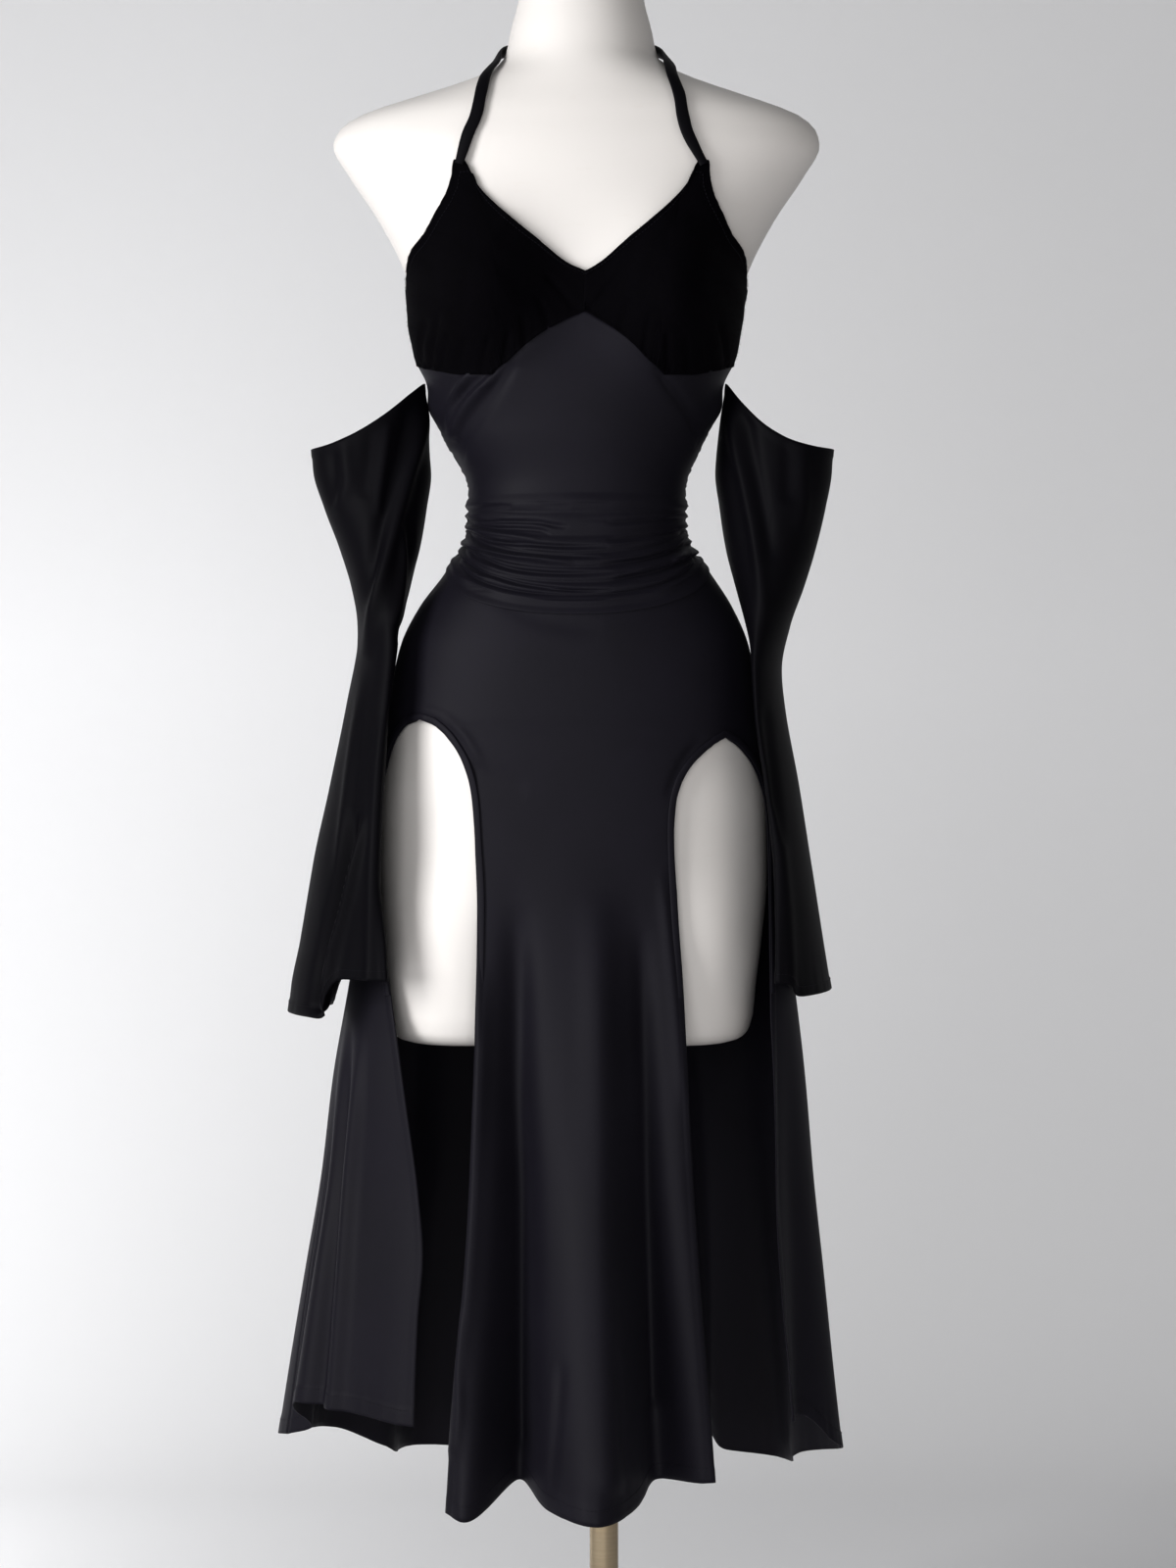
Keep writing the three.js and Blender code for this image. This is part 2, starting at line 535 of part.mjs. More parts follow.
// Angles round the bust count from the centre front, which lies a little to the viewer's right
function cupAngle(side, angle) {
  return side * angle + frontCentreAngle * (1 - angle / sideAngle);
}

function cupFoot(angle) {
  const side = angle >= frontCentreAngle ? 1 : -1;
  const fromCentre = (side * angle - side * frontCentreAngle) / (1 - (side * frontCentreAngle) / sideAngle);
  return valueAt(cupEdges, 'angle', 'foot', clamp(fromCentre, 0.4, sideAngle));
}

// The height of a midriff row: highest at the side seams, drooping in a U to the centre front
function midriffHeight(row, angle) {
  const droop = Math.abs(Math.cos(radians(angle))) ** 1.4;
  return lerp(row.side, row.centre, droop);
}

const waistEdge = { side: 1054, centre: 1012.5 };
const midriffAngles = [0, 5, 12, 19, 23.5, 32, 47, 58, 70, 80, 90 - seamTurn];

function midriffFront() {
  const columns = midriffAngles.length * 2 - 2;
  const rows = midriffRows.length + 1;
  const angleAt = (column) => {
    const fromCentre = column - columns / 2;
    return cupAngle(Math.sign(fromCentre), midriffAngles[Math.abs(fromCentre)]);
  };
  return clothWall('midriff_front', gridSheet(rows, columns, (row, column) => {
    const angle = angleAt(column);
    if (row === 0) {
      return bodicePoint(angle, cupFoot(angle) - cupSeam);
    }
    const level = row === rows ? waistEdge : midriffRows[row - 1];
    return bodicePoint(angle, midriffHeight(level, angle));
  }, {
    raisedAt: (row) => (row > 0 && row < rows ? midriffRows[row - 1].out : 0),
    seams: [sideSeam],
    levelRows: [0, rows],
  }), jersey);
}

const backTop = { side: 1281, centre: 1238 };
const backWaist = 1054;

function bodiceBack() {
  const columns = 14;
  const rows = 12;
  return clothWall('bodice_back', gridSheet(rows, columns, (row, column) => {
    const angle = lerp(sideAngle + seamTurn, 360 - sideAngle - seamTurn, column / columns);
    const top = lerp(backTop.side, backTop.centre, Math.abs(Math.cos(radians(angle))) ** 0.8);
    return bodicePoint(angle, lerp(top, backWaist, row / rows));
  }, { seams: [sideSeam], levelRows: [rows] }), jersey);
}

// Heights of the skirt's rows. The first few run down from the waist edge and the last few run to the hem.
const skirtLevels = [955, 924.3, 920.3, 909.8, 904.4, 888.6, 872.9, 857, 833, 790, 730, 665, 600, 540, 484, 430];
const waistRows = 4;
const hemRows = 3;

function skirtHeight(row, top, hem) {
  const firstLevel = skirtLevels[0];
  const lastLevel = skirtLevels[skirtLevels.length - 1];
  if (row < waistRows) {
    return lerp(top, firstLevel, row / waistRows);
  }
  if (row < waistRows + skirtLevels.length) {
    return skirtLevels[row - waistRows];
  }
  return lerp(lastLevel, hem, (row - waistRows - skirtLevels.length + 1) / hemRows);
}

// The angle of a slit's edge. Above its arch the strips meet at the arch's own angle.
function slitEdge(slit, column, z) {
  const level = Math.min(z, slit[0].z);
  return skirtAngle(valueAt(slit, 'z', column, level), level);
}

// The front skirt: a yoke over three strips, which the two slits part below their arches
const skirtStrips = [
  { columns: 7, from: () => -sideAngle + seamTurn, to: (z) => slitEdge(leftSlit, 'outer', z) },
  { columns: 18, from: (z) => slitEdge(leftSlit, 'inner', z), to: (z) => slitEdge(rightSlit, 'inner', z) },
  { columns: 7, from: (z) => slitEdge(rightSlit, 'outer', z), to: () => sideAngle - seamTurn },
];
const slitTops = [leftSlit[0].z, rightSlit[0].z];
const stripGuides = [{ least: -90, most: -36 }, { least: -35, most: 35 }, { least: 36, most: 90 }];

function skirtFront() {
  const rowCount = waistRows + skirtLevels.length + hemRows - 1;
  const points = [];
  const indexOf = new Map();
  const cells = [];
  const place = (strip, row, column) => {
    const { columns, from, to } = skirtStrips[strip];
    const angleAt = (z) => lerp(from(z), to(z), column / columns);
    const topAngle = angleAt(990);
    const top = midriffHeight(waistEdge, topAngle) - seamGap;
    const guide = stripGuides[strip];
    const hem = valueAt(hemHeights, 'angle', 'z', clamp(angleAt(340), guide.least, guide.most));
    const z = skirtHeight(row, top, hem);
    return skirtPoint(angleAt(z), z);
  };
  const vertex = (strip, row, column) => {
    if (column === 0 && strip > 0 && skirtLevelOf(row) >= slitTops[strip - 1]) {
      return vertex(strip - 1, row, skirtStrips[strip - 1].columns);
    }
    const key = `${strip} ${row} ${column}`;
    if (!indexOf.has(key)) {
      indexOf.set(key, points.push(place(strip, row, column)) - 1);
    }
    return indexOf.get(key);
  };
  skirtStrips.forEach(({ columns }, strip) => {
    for (let row = 0; row < rowCount; row += 1) {
      for (let column = 0; column < columns; column += 1) {
        cells.push([vertex(strip, row, column), vertex(strip, row + 1, column),
          vertex(strip, row + 1, column + 1), vertex(strip, row, column + 1)]);
      }
    }
  });
  const levelPoints = [...indexOf].filter(([key]) => key.split(' ')[1] === '0').map(([, index]) => index);
  return clothWall('skirt_front', { points, cells, raised: [], levelPoints, seams: [sideSeam] }, jersey);
}

// The level of a row, or infinity for the rows above the first level
function skirtLevelOf(row) {
  if (row < waistRows) {
    return Infinity;
  }
  return skirtLevels[row - waistRows] ?? -Infinity;
}

function skirtBack() {
  const columns = 28;
  const levels = [1020, 985, 940, 880, 800, 720, 640, 560, 480, 390];
  const rowCount = levels.length + 1;
  return clothWall('skirt_back', gridSheet(rowCount, columns, (row, column) => {
    const angle = lerp(sideAngle + seamTurn, 360 - sideAngle - seamTurn, column / columns);
    if (row === 0) {
      return skirtPoint(angle, backWaist - seamGap);
    }
    if (row === rowCount) {
      return skirtPoint(angle, valueAt(hemHeights, 'angle', 'z', angle));
    }
    return skirtPoint(angle, levels[row - 1]);
  }, { seams: [sideSeam], levelRows: [0] }), jersey);
}

// A narrow band that lies on the skirt along a slit's arch, from one lower end up and over to the other
function slitEdging(name, slit) {
  const levels = slit.map((row) => row.z).filter((z) => z > edging.lowest);
  levels.push(edging.lowest);
  const finer = levels.slice(1).flatMap((z, i) => [lerp(levels[i], z, 0.5), z]);
  const place = (column) => (z) => ({ angle: slitEdge(slit, column, z), z });
  const route = [...[...finer].reverse().map(place('outer')), place('outer')(slit[0].z), ...finer.map(place('inner'))];
  const direction = Math.sign(route[route.length - 1].angle - route[0].angle);
  const rings = route.map((here, i) => {
    const before = route[Math.max(0, i - 1)];
    const after = route[Math.min(route.length - 1, i + 1)];
    const perDegree = skirtPoint(here.angle + 0.5, here.z).distanceTo(skirtPoint(here.angle - 0.5, here.z));
    const acrossRun = (after.angle - before.angle) * perDegree;
    const climb = after.z - before.z;
    const run = Math.hypot(acrossRun, climb);
    const corner = (away, out) => {
      const angle = here.angle - (direction * climb * away) / run / perDegree;
      return skirtPoint(angle, here.z + (direction * acrossRun * away) / run, out);
    };
    const low = seamGap + 0.4;
    const ring = [corner(0, low), corner(0, low + edging.thickness),
      corner(edging.width, low + edging.thickness * 0.7), corner(edging.width, low)];
    return direction > 0 ? ring : ring.reverse();
  });
  return ringSkin(name, rings, jersey);
}

// A bell sleeve: a tube of bent ovals, open at its slanted top and at its hem
function sleeve(name, sections, side) {
  const rows = 13;
  const columns = 20;
  const [bend, middleHem, slope] = side < 0
    ? [sleeveTop.leftBend, sleeveHem.left, sleeveHem.leftSlope]
    : [sleeveTop.rightBend, sleeveHem.right, sleeveHem.rightSlope];
  return clothWall(name, gridSheet(rows, columns, (row, column) => {
    const turn = (2 * Math.PI * column) / columns;
    const ahead = Math.cos(turn);
    const outward = Math.sin(turn) * side;
    const drop = sleeveTop.drop * (1 - (1 - (1 + outward) / 2) ** bend);
    const z = lerp(sleeveTop.inner - drop, middleHem + slope * ahead, row / rows);
    return sleevePoint(sectionAt(sections, z), side, ahead, outward);
  }, { round: true }), jersey);
}

// A point of a sleeve's section, from how far ahead and how far outward it lies on the oval
function sleevePoint(section, side, ahead, outward) {
  const s = (1 + ahead) / 2;
  const spineX = section.backX * (1 - s) * (1 - 2 * s) + section.midX * 4 * s * (1 - s)
    + section.frontX * s * (2 * s - 1);
  const spineY = lerp(section.backY, section.frontY, s);
  return new THREE.Vector3(spineX + side * section.half * outward, spineY, section.z);
}

// The halter strap: a rolled band that stands just off the form all the way
function halterStrap() {
  const way = new THREE.CatmullRomCurve3(strapRoute.map(({ angle, z }) => standOff(formPoint, angle, z,
    strap.stand + strap.halfThickness)));
  const rings = [];
  for (let step = 0; step <= strap.steps; step += 1) {
    const t = step / strap.steps;
    const centre = way.getPointAt(t);
    const along = way.getTangentAt(t);
    const out = strapOutward(centre);
    out.addScaledVector(along, -out.dot(along)).normalize();
    const across = along.clone().cross(out);
    const pinch = 1 - 0.3 * Math.exp(-((Math.min(t, 1 - t) / 0.03) ** 2));
    const ring = [];
    for (let i = 0; i < strap.sides; i += 1) {
      const turn = (2 * Math.PI * i) / strap.sides;
      ring.push(centre.clone()
        .addScaledVector(across, strap.halfWidth * pinch * Math.cos(turn))
        .addScaledVector(out, strap.halfThickness * Math.sin(turn)));
    }
    rings.push(ring);
  }
  return ringSkin('halter_strap', rings, jersey);
}

// Outwards from the neck's axis, and upwards on the slope of the shoulder
function strapOutward(point) {
  const lift = 30 * Math.exp(-(((point.z - 1450) / 16) ** 2));
  return new THREE.Vector3(point.x * 0.8, point.y, lift).normalize();
}

function standPole() {
  const length = pole.top - pole.foot;
  const geometry = new THREE.CylinderGeometry(pole.radius, pole.radius, length, 32);
  geometry.rotateX(Math.PI / 2);
  geometry.translate(0, 0, pole.foot + length / 2);
  const mesh = new THREE.Mesh(geometry, brass);
  mesh.name = 'stand_pole';
  return mesh;
}

function standBase() {
  const socket = pole.radius + pole.fit;
  const outline = [[0, 0], [base.radius - 2, 0], [base.radius, 2], [base.radius, base.rim - 1.5],
    [base.radius - 2, base.rim], [base.collarRadius + 8, base.plate], [base.collarRadius, base.plate + 6],
    [base.collarRadius - 2, base.collarTop - 3], [base.collarRadius - 5, base.collarTop],
    [socket, base.collarTop], [socket, base.floor], [0, base.floor]];
  const geometry = new THREE.LatheGeometry(outline.map(([r, h]) => new THREE.Vector2(r, h)), 32);
  geometry.rotateX(Math.PI / 2);
  const mesh = new THREE.Mesh(geometry, brass);
  mesh.name = 'stand_base';
  return mesh;
}

const dressed = new THREE.Group();
dressed.position.x = formShift;
dressed.add(formBody());
dressed.add(cup('cup_left', -1), cup('cup_right', 1));
dressed.add(midriffFront(), bodiceBack());
dressed.add(skirtFront(), skirtBack());
dressed.add(slitEdging('slit_edging_left', leftSlit), slitEdging('slit_edging_right', rightSlit));
dressed.add(sleeve('sleeve_left', leftSleeve, -1), sleeve('sleeve_right', rightSleeve, 1));
dressed.add(halterStrap());

const part = new THREE.Group();
part.add(standBase(), standPole(), dressed);

export default part;
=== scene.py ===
import math

import bmesh
import bpy
import numpy as np
from bpy.props import FloatProperty, FloatVectorProperty, IntProperty, PointerProperty
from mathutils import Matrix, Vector


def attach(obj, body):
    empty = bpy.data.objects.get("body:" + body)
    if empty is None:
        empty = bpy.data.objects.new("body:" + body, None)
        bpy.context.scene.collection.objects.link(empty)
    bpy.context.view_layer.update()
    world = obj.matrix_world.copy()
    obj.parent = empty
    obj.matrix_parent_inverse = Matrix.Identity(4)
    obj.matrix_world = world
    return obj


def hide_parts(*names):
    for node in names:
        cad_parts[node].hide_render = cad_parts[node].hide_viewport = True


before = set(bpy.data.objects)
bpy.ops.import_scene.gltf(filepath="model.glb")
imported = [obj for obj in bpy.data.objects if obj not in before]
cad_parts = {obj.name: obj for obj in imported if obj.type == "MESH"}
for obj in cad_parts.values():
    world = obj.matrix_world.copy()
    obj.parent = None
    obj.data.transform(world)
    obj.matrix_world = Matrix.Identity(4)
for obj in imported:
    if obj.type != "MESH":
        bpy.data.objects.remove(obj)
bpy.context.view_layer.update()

bl_info = {
    "name": "Halter Dress",
    "version": (1, 0, 0),
    "blender": (4, 5, 0),
    "location": "View3D > Sidebar > Halter Dress",
    "description": "Dresses the packed halter dress and its form in cloth, paint and brass",
    "category": "Object",
}

# Sizes in millimetres, in the form's own frame, which stands a little to the left of the pole
MM = 0.001
FORM_SHIFT = -20.0
OUTER_OFFSET = 3.6
SEAM_GAP = 0.3
CUP_SEAM = 0.3
SEAM_TURN = 0.02
SIDE_ANGLE = 90.0
FRONT_CENTRE_ANGLE = 2.2
FORM_BUST = {"x": 86, "z": 1270, "depth": 44, "wide": 43, "tall": 45}
CLOTH_BUST = {"x": 86, "z": 1270, "depth": 46, "wide": 46, "tall": 48}
POLE = {"radius": 12, "foot": 3.3, "top": 829.7}
BASE = {"radius": 170, "rim": 5, "plate": 9, "collar": 24, "collar_top": 46, "floor": 3, "fit": 0.3}
STRAP = {"half_width": 4.6, "half_thickness": 1.7, "stand": 2.8}
EDGING = {"width": 6.0, "thickness": 1.3, "lowest": 700.0, "low": 0.7}
LEAST_OFFSET = 1.9
SEAM_LAP = 1.4
CUP_POINT = {"angle": 28.3, "height": 1374.0, "out": 2.8}
CUP_DIP = {"angle": 52, "wide": 9, "drop": 5.0}
SIDE_SLACK = {"z": 1182, "tall": 13, "out": 5.0}
CREASE_FADE = 0.3
CREASE_AT_SIDE = 0.3
STRIP_PARTING = 35.5
FRONT_EDGE = SIDE_ANGLE - SEAM_TURN
BACK_EDGE = SIDE_ANGLE + SEAM_TURN

# The angles within which each front strip reads its hem's height
STRIP_HEMS = [
    (-90, -STRIP_PARTING - 0.5), (-STRIP_PARTING + 0.5, STRIP_PARTING - 0.5), (STRIP_PARTING + 0.5, 90),
]


def bell(at, middle, wide):
    """A bell curve: 1 at the middle, and about a third one width away."""
    return np.exp(-(((at - middle) / wide) ** 2))


def hermite(t, first, last, first_slope, last_slope, span=1.0):
    """A smooth curve between two values that keeps a slope at each."""
    curve = (2 * t**3 - 3 * t**2 + 1) * first + (t**3 - 2 * t**2 + t) * first_slope * span
    return curve + (3 * t**2 - 2 * t**3) * last + (t**3 - t**2) * last_slope * span


class Table:
    """Rows of named columns, with a smooth value between the rows."""

    def __init__(self, columns, rows):
        ordered = sorted(rows)
        self.columns = {name: np.array([row[i] for row in ordered], float) for i, name in enumerate(columns)}
        self.key = self.columns[columns[0]]

    def slopes(self, column):
        values = self.columns[column]
        steps = np.diff(values) / np.diff(self.key)
        slopes = np.empty(len(values))
        slopes[0] = steps[0]
        slopes[-1] = steps[-1]
        before, after = steps[:-1], steps[1:]
        total = np.where(before * after > 0, before + after, 1)
        slopes[1:-1] = np.where(before * after > 0, 2 * before * after / total, 0)
        return slopes

    def value(self, column, at):
        at = np.asarray(at, float)
        values = self.columns[column]
        slopes = self.slopes(column)
        i = np.clip(np.searchsorted(self.key, at) - 1, 0, len(self.key) - 2)
        span = self.key[i + 1] - self.key[i]
        t = np.clip((at - self.key[i]) / span, 0, 1)
        return hermite(t, values[i], values[i + 1], slopes[i], slopes[i + 1], span)


FORM_SECTIONS = Table(("z", "mid", "half", "front", "back", "square"), [
    (1545, 1, 50, 46, 44, 2), (1521, 1, 52, 49, 47, 2), (1497, 1, 58, 55, 52, 2),
    (1472, 1, 64, 61, 61, 2), (1460, 3, 79, 65, 68, 2), (1448, 3, 111, 69, 75, 1.95),
    (1436, 2, 150, 73, 81, 1.9), (1424, 0, 183, 77, 85, 1.9), (1412, -2, 198, 80, 88, 1.9),
    (1400, -3, 202, 83, 89, 1.95), (1375, -3, 189, 87, 91, 2), (1339, -3, 165, 90, 92, 2.1),
    (1302, -3, 145.5, 91, 91, 2.2), (1282, -3, 138.5, 90, 90, 2.25), (1262, -4, 136.5, 90, 89, 2.3),
    (1228, -4, 131, 90, 86, 2.3), (1203, -4, 119.5, 90, 83, 2.3), (1162, -4.5, 107, 86, 76, 2.2),
    (1115, -2.5, 87, 79, 70, 2.2), (1084, -3, 86.5, 79, 72, 2.2), (1063, -2.5, 92, 82, 78, 2.2),
    (1045, -3, 104, 86, 87, 2.2), (1017, -4, 123, 90, 102, 2.2), (987, -5, 137, 94, 114, 2.2),
    (951, -5, 146, 96, 122, 2.2), (900, -6, 156, 97, 125, 2.2), (850, -5.5, 162, 96, 120, 2.2),
    (800, -5.5, 162, 92, 110, 2.2), (740, -7, 158.5, 88, 99, 2.2), (700, -9, 155.5, 85, 93, 2.2),
    (657, -9, 151.5, 82, 90, 2.2),
])

THIGH_SECTIONS = Table(("z", "ridge", "inner", "shrink"), [
    (1545, 0, 2, 1), (850, 0, 2, 1), (820, 18, 20, 1), (790, 52, 54, 1), (770, 70, 66, 1),
    (740, 82, 70, 1), (682, 84, 66, 1), (668, 84, 66, 0.97), (660, 84, 66, 0.89), (657, 84, 66, 0.76),
])

SKIRT_SECTIONS = Table(("z", "mid", "half", "front", "back", "square"), [
    (1066, -2, 97, 87, 83, 2.2), (1045, -2, 111, 91, 93, 2.2), (1017, -3.5, 130.5, 96, 108, 2.2),
    (987, -4.5, 144.5, 100, 120, 2.2), (951, -5, 152.5, 102, 128, 2.2), (900, -6, 161, 103, 131, 2.2),
    (850, -6, 168, 103, 129, 2.2), (780, -6, 175, 106, 128, 2.2), (706, -7, 185, 114, 136, 2.15),
    (624, -9.5, 195.5, 124, 152, 2.1), (541, -11, 202, 134, 170, 2), (459, -13.5, 211, 145, 190, 2),
    (376, -16, 219.5, 156, 210, 2), (270, -18, 230, 170, 236, 2),
])

# Flutes: angle round the body, drift by the hem, how far out there, half width, and height where they begin
FLUTES = [
    (-100, 0, 17, 11, 800), (-83, 0, -20, 5.5, 690), (-71, 0, 13, 8, 760), (-48, 0, -6, 10, 700),
    (-22, 4, 18, 4.5, 800), (-13.5, 5, -34, 4.3, 820), (0, 7, 40, 8, 840), (14, 9.5, -34, 5.5, 820),
    (23, 8, 10, 4.5, 780), (50, 0, 10, 8, 700), (68, 0, -14, 7, 700), (88, 0, 12, 9, 760),
    (108, 0, -16, 8, 700), (128, 0, 17, 8, 780), (140, 0, -15, 6, 720), (152, 0, 22, 7, 800),
    (166, 0, -20, 7, 740), (181, 0, 18, 8, 820), (196, 0, -18, 7, 740), (211, 0, 20, 8, 800),
    (226, 0, -18, 7, 720), (241, 0, 8, 6, 760),
]

HEM_HEIGHTS = Table(("angle", "z"), [
    (-90, 324), (-84, 332), (-76, 352), (-70, 363), (-36, 358), (-35, 297), (-24, 296), (-17.5, 291),
    (-8.8, 315), (-2, 300), (7, 294), (15, 300), (23, 313), (31, 315), (35, 316), (36, 356), (70, 350),
    (82, 322), (90, 312), (104, 298), (112, 285), (127, 270), (138, 275), (144, 294), (148, 297),
    (154, 288), (166, 273), (190, 268), (206, 267), (220, 271), (228, 284), (238, 304), (250, 312),
    (256, 314), (270, 324),
])

LEFT_SLIT = Table(("z", "inner", "outer"), [
    (924.3, -130.3, -130.3), (920.3, -119, -142), (904.4, -103, -153.4), (888.6, -94.2, -158.4),
    (872.9, -89.3, -162.6), (857, -86.9, -166), (833, -85.2, -167.8), (770, -82.3, -164.2),
    (714, -82.5, -156.2), (616, -84.5, -141.7), (535, -87, -130), (493, -89, -126.5),
    (440, -93, -130.5), (370, -100, -132.7), (290, -105, -133),
])
RIGHT_SLIT = Table(("z", "inner", "outer"), [
    (909.8, 118.3, 118.3), (904.4, 109, 127.4), (888.6, 91.6, 141.1), (872.9, 82, 148.5),
    (857, 77.8, 152.8), (833, 76.2, 155), (770, 79, 155.6), (714, 83, 156), (616, 87.4, 157),
    (535, 91.5, 158.2), (493, 94, 160.5), (440, 97.5, 164), (370, 102.5, 166.5), (290, 107, 168),
])

CUP_EDGES = Table(("angle", "top", "foot"), [
    (0.2, 1286, 1256), (5, 1294, 1248), (12, 1310, 1237), (19, 1328, 1224), (23.5, 1346, 1216),
    (26, 1363, 1212.8), (27, 1378, 1211.5), (29.6, 1378, 1208.1), (32, 1366, 1205), (38, 1349, 1205.4),
    (47, 1332, 1206), (58, 1316, 1209.4), (70, 1300, 1213), (80, 1288, 1216), (90, 1281, 1219),
])

# Rows of the midriff below the cups: number, height at the side and at the centre, how far a fold stands out
MIDRIFF_ROWS = Table(("row", "side", "centre", "out"), [
    (1, 1186, 1194, 0), (2, 1154, 1160, 0), (3, 1126, 1134, 0), (4, 1108, 1109, 0), (5, 1101, 1101, 2.2),
    (6, 1097, 1093, 0), (7, 1093, 1084, 2.4), (8, 1089.5, 1074, 0), (9, 1086, 1065, 2.6),
    (10, 1082.5, 1059.5, 0.2), (11, 1079, 1054, 2.6), (12, 1075.5, 1048, 0.2), (13, 1072, 1042, 3),
    (14, 1069, 1036, 0.4), (15, 1066, 1030, 3.6), (16, 1063, 1025.5, 0.8), (17, 1060, 1021, 4.4),
    (18, 1056.5, 1016, 1.2), (19, 1054, 1012.5, 0),
])
LAST_MIDRIFF_ROW = 19
BACK_TOP = {"side": 1281, "centre": 1238}
BACK_WAIST = 1054
SKIRT_STRAIGHT = {"first": 955.0, "last": 430.0}

LEFT_SLEEVE = Table(("z", "frontX", "midX", "backX", "frontY", "backY", "half"), [
    (1205, -178, -178.5, -177.5, -44, 42, 49), (1131, -172, -173, -172, -52, 44, 49),
    (1099, -167, -170, -170, -57, 45, 42.5), (1066, -161, -166.5, -168, -62, 46, 33.5),
    (1034, -157, -165, -168, -68, 46, 25), (989, -154, -168.5, -171, -76, 46, 15.5),
    (935, -158, -178.5, -180, -86, 44, 14.5), (870, -164, -190, -192, -95, 44, 16),
    (804, -166, -199.5, -203, -102, 46, 20), (739, -159, -207.5, -214, -108, 52, 21),
    (700, -157, -214.5, -220, -112, 57, 21), (670, -156, -216, -224, -114, 60, 22.5),
])
RIGHT_SLEEVE = Table(("z", "frontX", "midX", "backX", "frontY", "backY", "half"), [
    (1205, 169, 169.5, 168.5, -44, 42, 48), (1131, 161, 161, 160, -52, 44, 48.5),
    (1099, 158, 160, 160, -57, 44, 44), (1066, 155, 158.5, 159, -62, 44, 37.5),
    (1034, 151, 157.5, 158, -70, 42, 28.5), (1001, 146, 156, 157, -78, 38, 18),
    (968, 142, 156, 158, -86, 32, 10.5), (935, 143, 159, 162, -92, 30, 9.5),
    (870, 152, 169.5, 173, -98, 32, 10.5), (804, 160, 179, 182, -104, 36, 11.5),
    (755, 160, 185, 189, -108, 40, 12.5), (690, 160, 192, 198, -112, 46, 15),
])
SLEEVE_TOP = {"inner": 1203, "drop": 55, "left_bend": 1.7, "right_bend": 2.4}
SLEEVE_HEM = {
    "left": 697, "left_step": 17, "left_edge": -203,
    "right": 706, "right_step": 6, "right_edge": 172, "level": 705.0,
}

# The strap's way over the shoulders and round the neck: angle round the form, height
STRAP_ROUTE = [
    (-28.2, 1378.9), (-26, 1397), (-25.5, 1413), (-29.8, 1430), (-44, 1447), (-65, 1461), (-88, 1474),
    (-118, 1483), (-150, 1488), (-180, 1490), (-210, 1488), (-242, 1483), (-272, 1474), (-299, 1461),
    (-321, 1447), (-331, 1430), (-333.5, 1413), (-333, 1397), (-331.8, 1378.9),
]

# Creases: way across and up, half width, how far out, strength at the start and at the end
MIDRIFF_CREASES = [
    ([(-72, 1207), (-94, 1189), (-107, 1173), (-106, 1157), (-103, 1147)], 3.2, -3.0, 0.4, 0.2),
    ([(-66, 1203), (-85, 1186), (-97, 1168), (-101, 1152)], 4.0, 4.6, 0.2, 0.1),
    ([(-86, 1208), (-101, 1186), (-106, 1166), (-105, 1146)], 3.4, 3.8, 0.2, 0.1),
    ([(-56, 1208), (-72, 1185), (-84, 1169), (-94, 1156), (-98, 1142), (-97, 1132)], 5.2, -4.2, 0.5, 0.2),
    ([(62, 1206), (78, 1188), (92, 1166), (98, 1146)], 4.6, -2.6, 0.4, 0.2),
    ([(-88, 1098), (-73, 1098), (-52, 1099)], 2.2, -1.8, 0.6, 0),
    ([(-30, 1098.5), (-18, 1098), (-6, 1098)], 2.4, -0.6, 0, 0),
    ([(-89, 1089), (-76, 1086), (-49, 1086), (-32, 1085), (-20, 1082), (-8, 1080.7)], 1.8, -2.7, 1, 0),
    ([(-88, 1085.4), (-69, 1080.7), (-50, 1080), (-34, 1079), (-23, 1076)], 1.6, -2.5, 1, 0),
    ([(-89, 1079), (-74, 1071.6), (-58, 1068), (-34, 1066.4), (-8, 1064.3), (20, 1065)], 2.0, -3.2, 1, 0.2),
    ([(-89, 1077), (-76, 1068), (-56, 1061), (-27, 1057.7), (15, 1056)], 1.5, -2.3, 1, 0.3),
    ([(-93, 1068), (-82, 1059), (-60, 1048), (-34, 1043.4), (-5, 1042.6), (30, 1044)], 2.2, -3.6, 1, 0),
    ([(-97, 1062), (-91, 1054), (-76, 1044), (-60, 1038.6), (-45, 1034), (-8, 1029), (24, 1029)],
     1.7, -3.2, 1, 0.2),
    ([(90, 1092), (70, 1088), (45, 1086), (18, 1084)], 1.8, -2.3, 1, 0),
    ([(92, 1083), (72, 1077), (48, 1073), (20, 1070)], 2.0, -2.7, 1, 0),
    ([(93, 1072), (74, 1062), (50, 1054), (16, 1050)], 2.1, -3.1, 1, 0),
    ([(96, 1064), (80, 1052), (58, 1044), (26, 1038)], 1.9, -3.2, 1, 0.1),
    ([(-100, 1074), (-84, 1066), (-60, 1060), (-34, 1055), (-4, 1052)], 2.6, 3.6, 0.3, 0),
    ([(-98, 1087), (-80, 1080), (-56, 1075), (-30, 1071)], 2.2, 2.4, 0.3, 0),
    ([(92, 1066), (84, 1060), (70, 1055)], 3.0, 3.0, 0.6, 0),
]
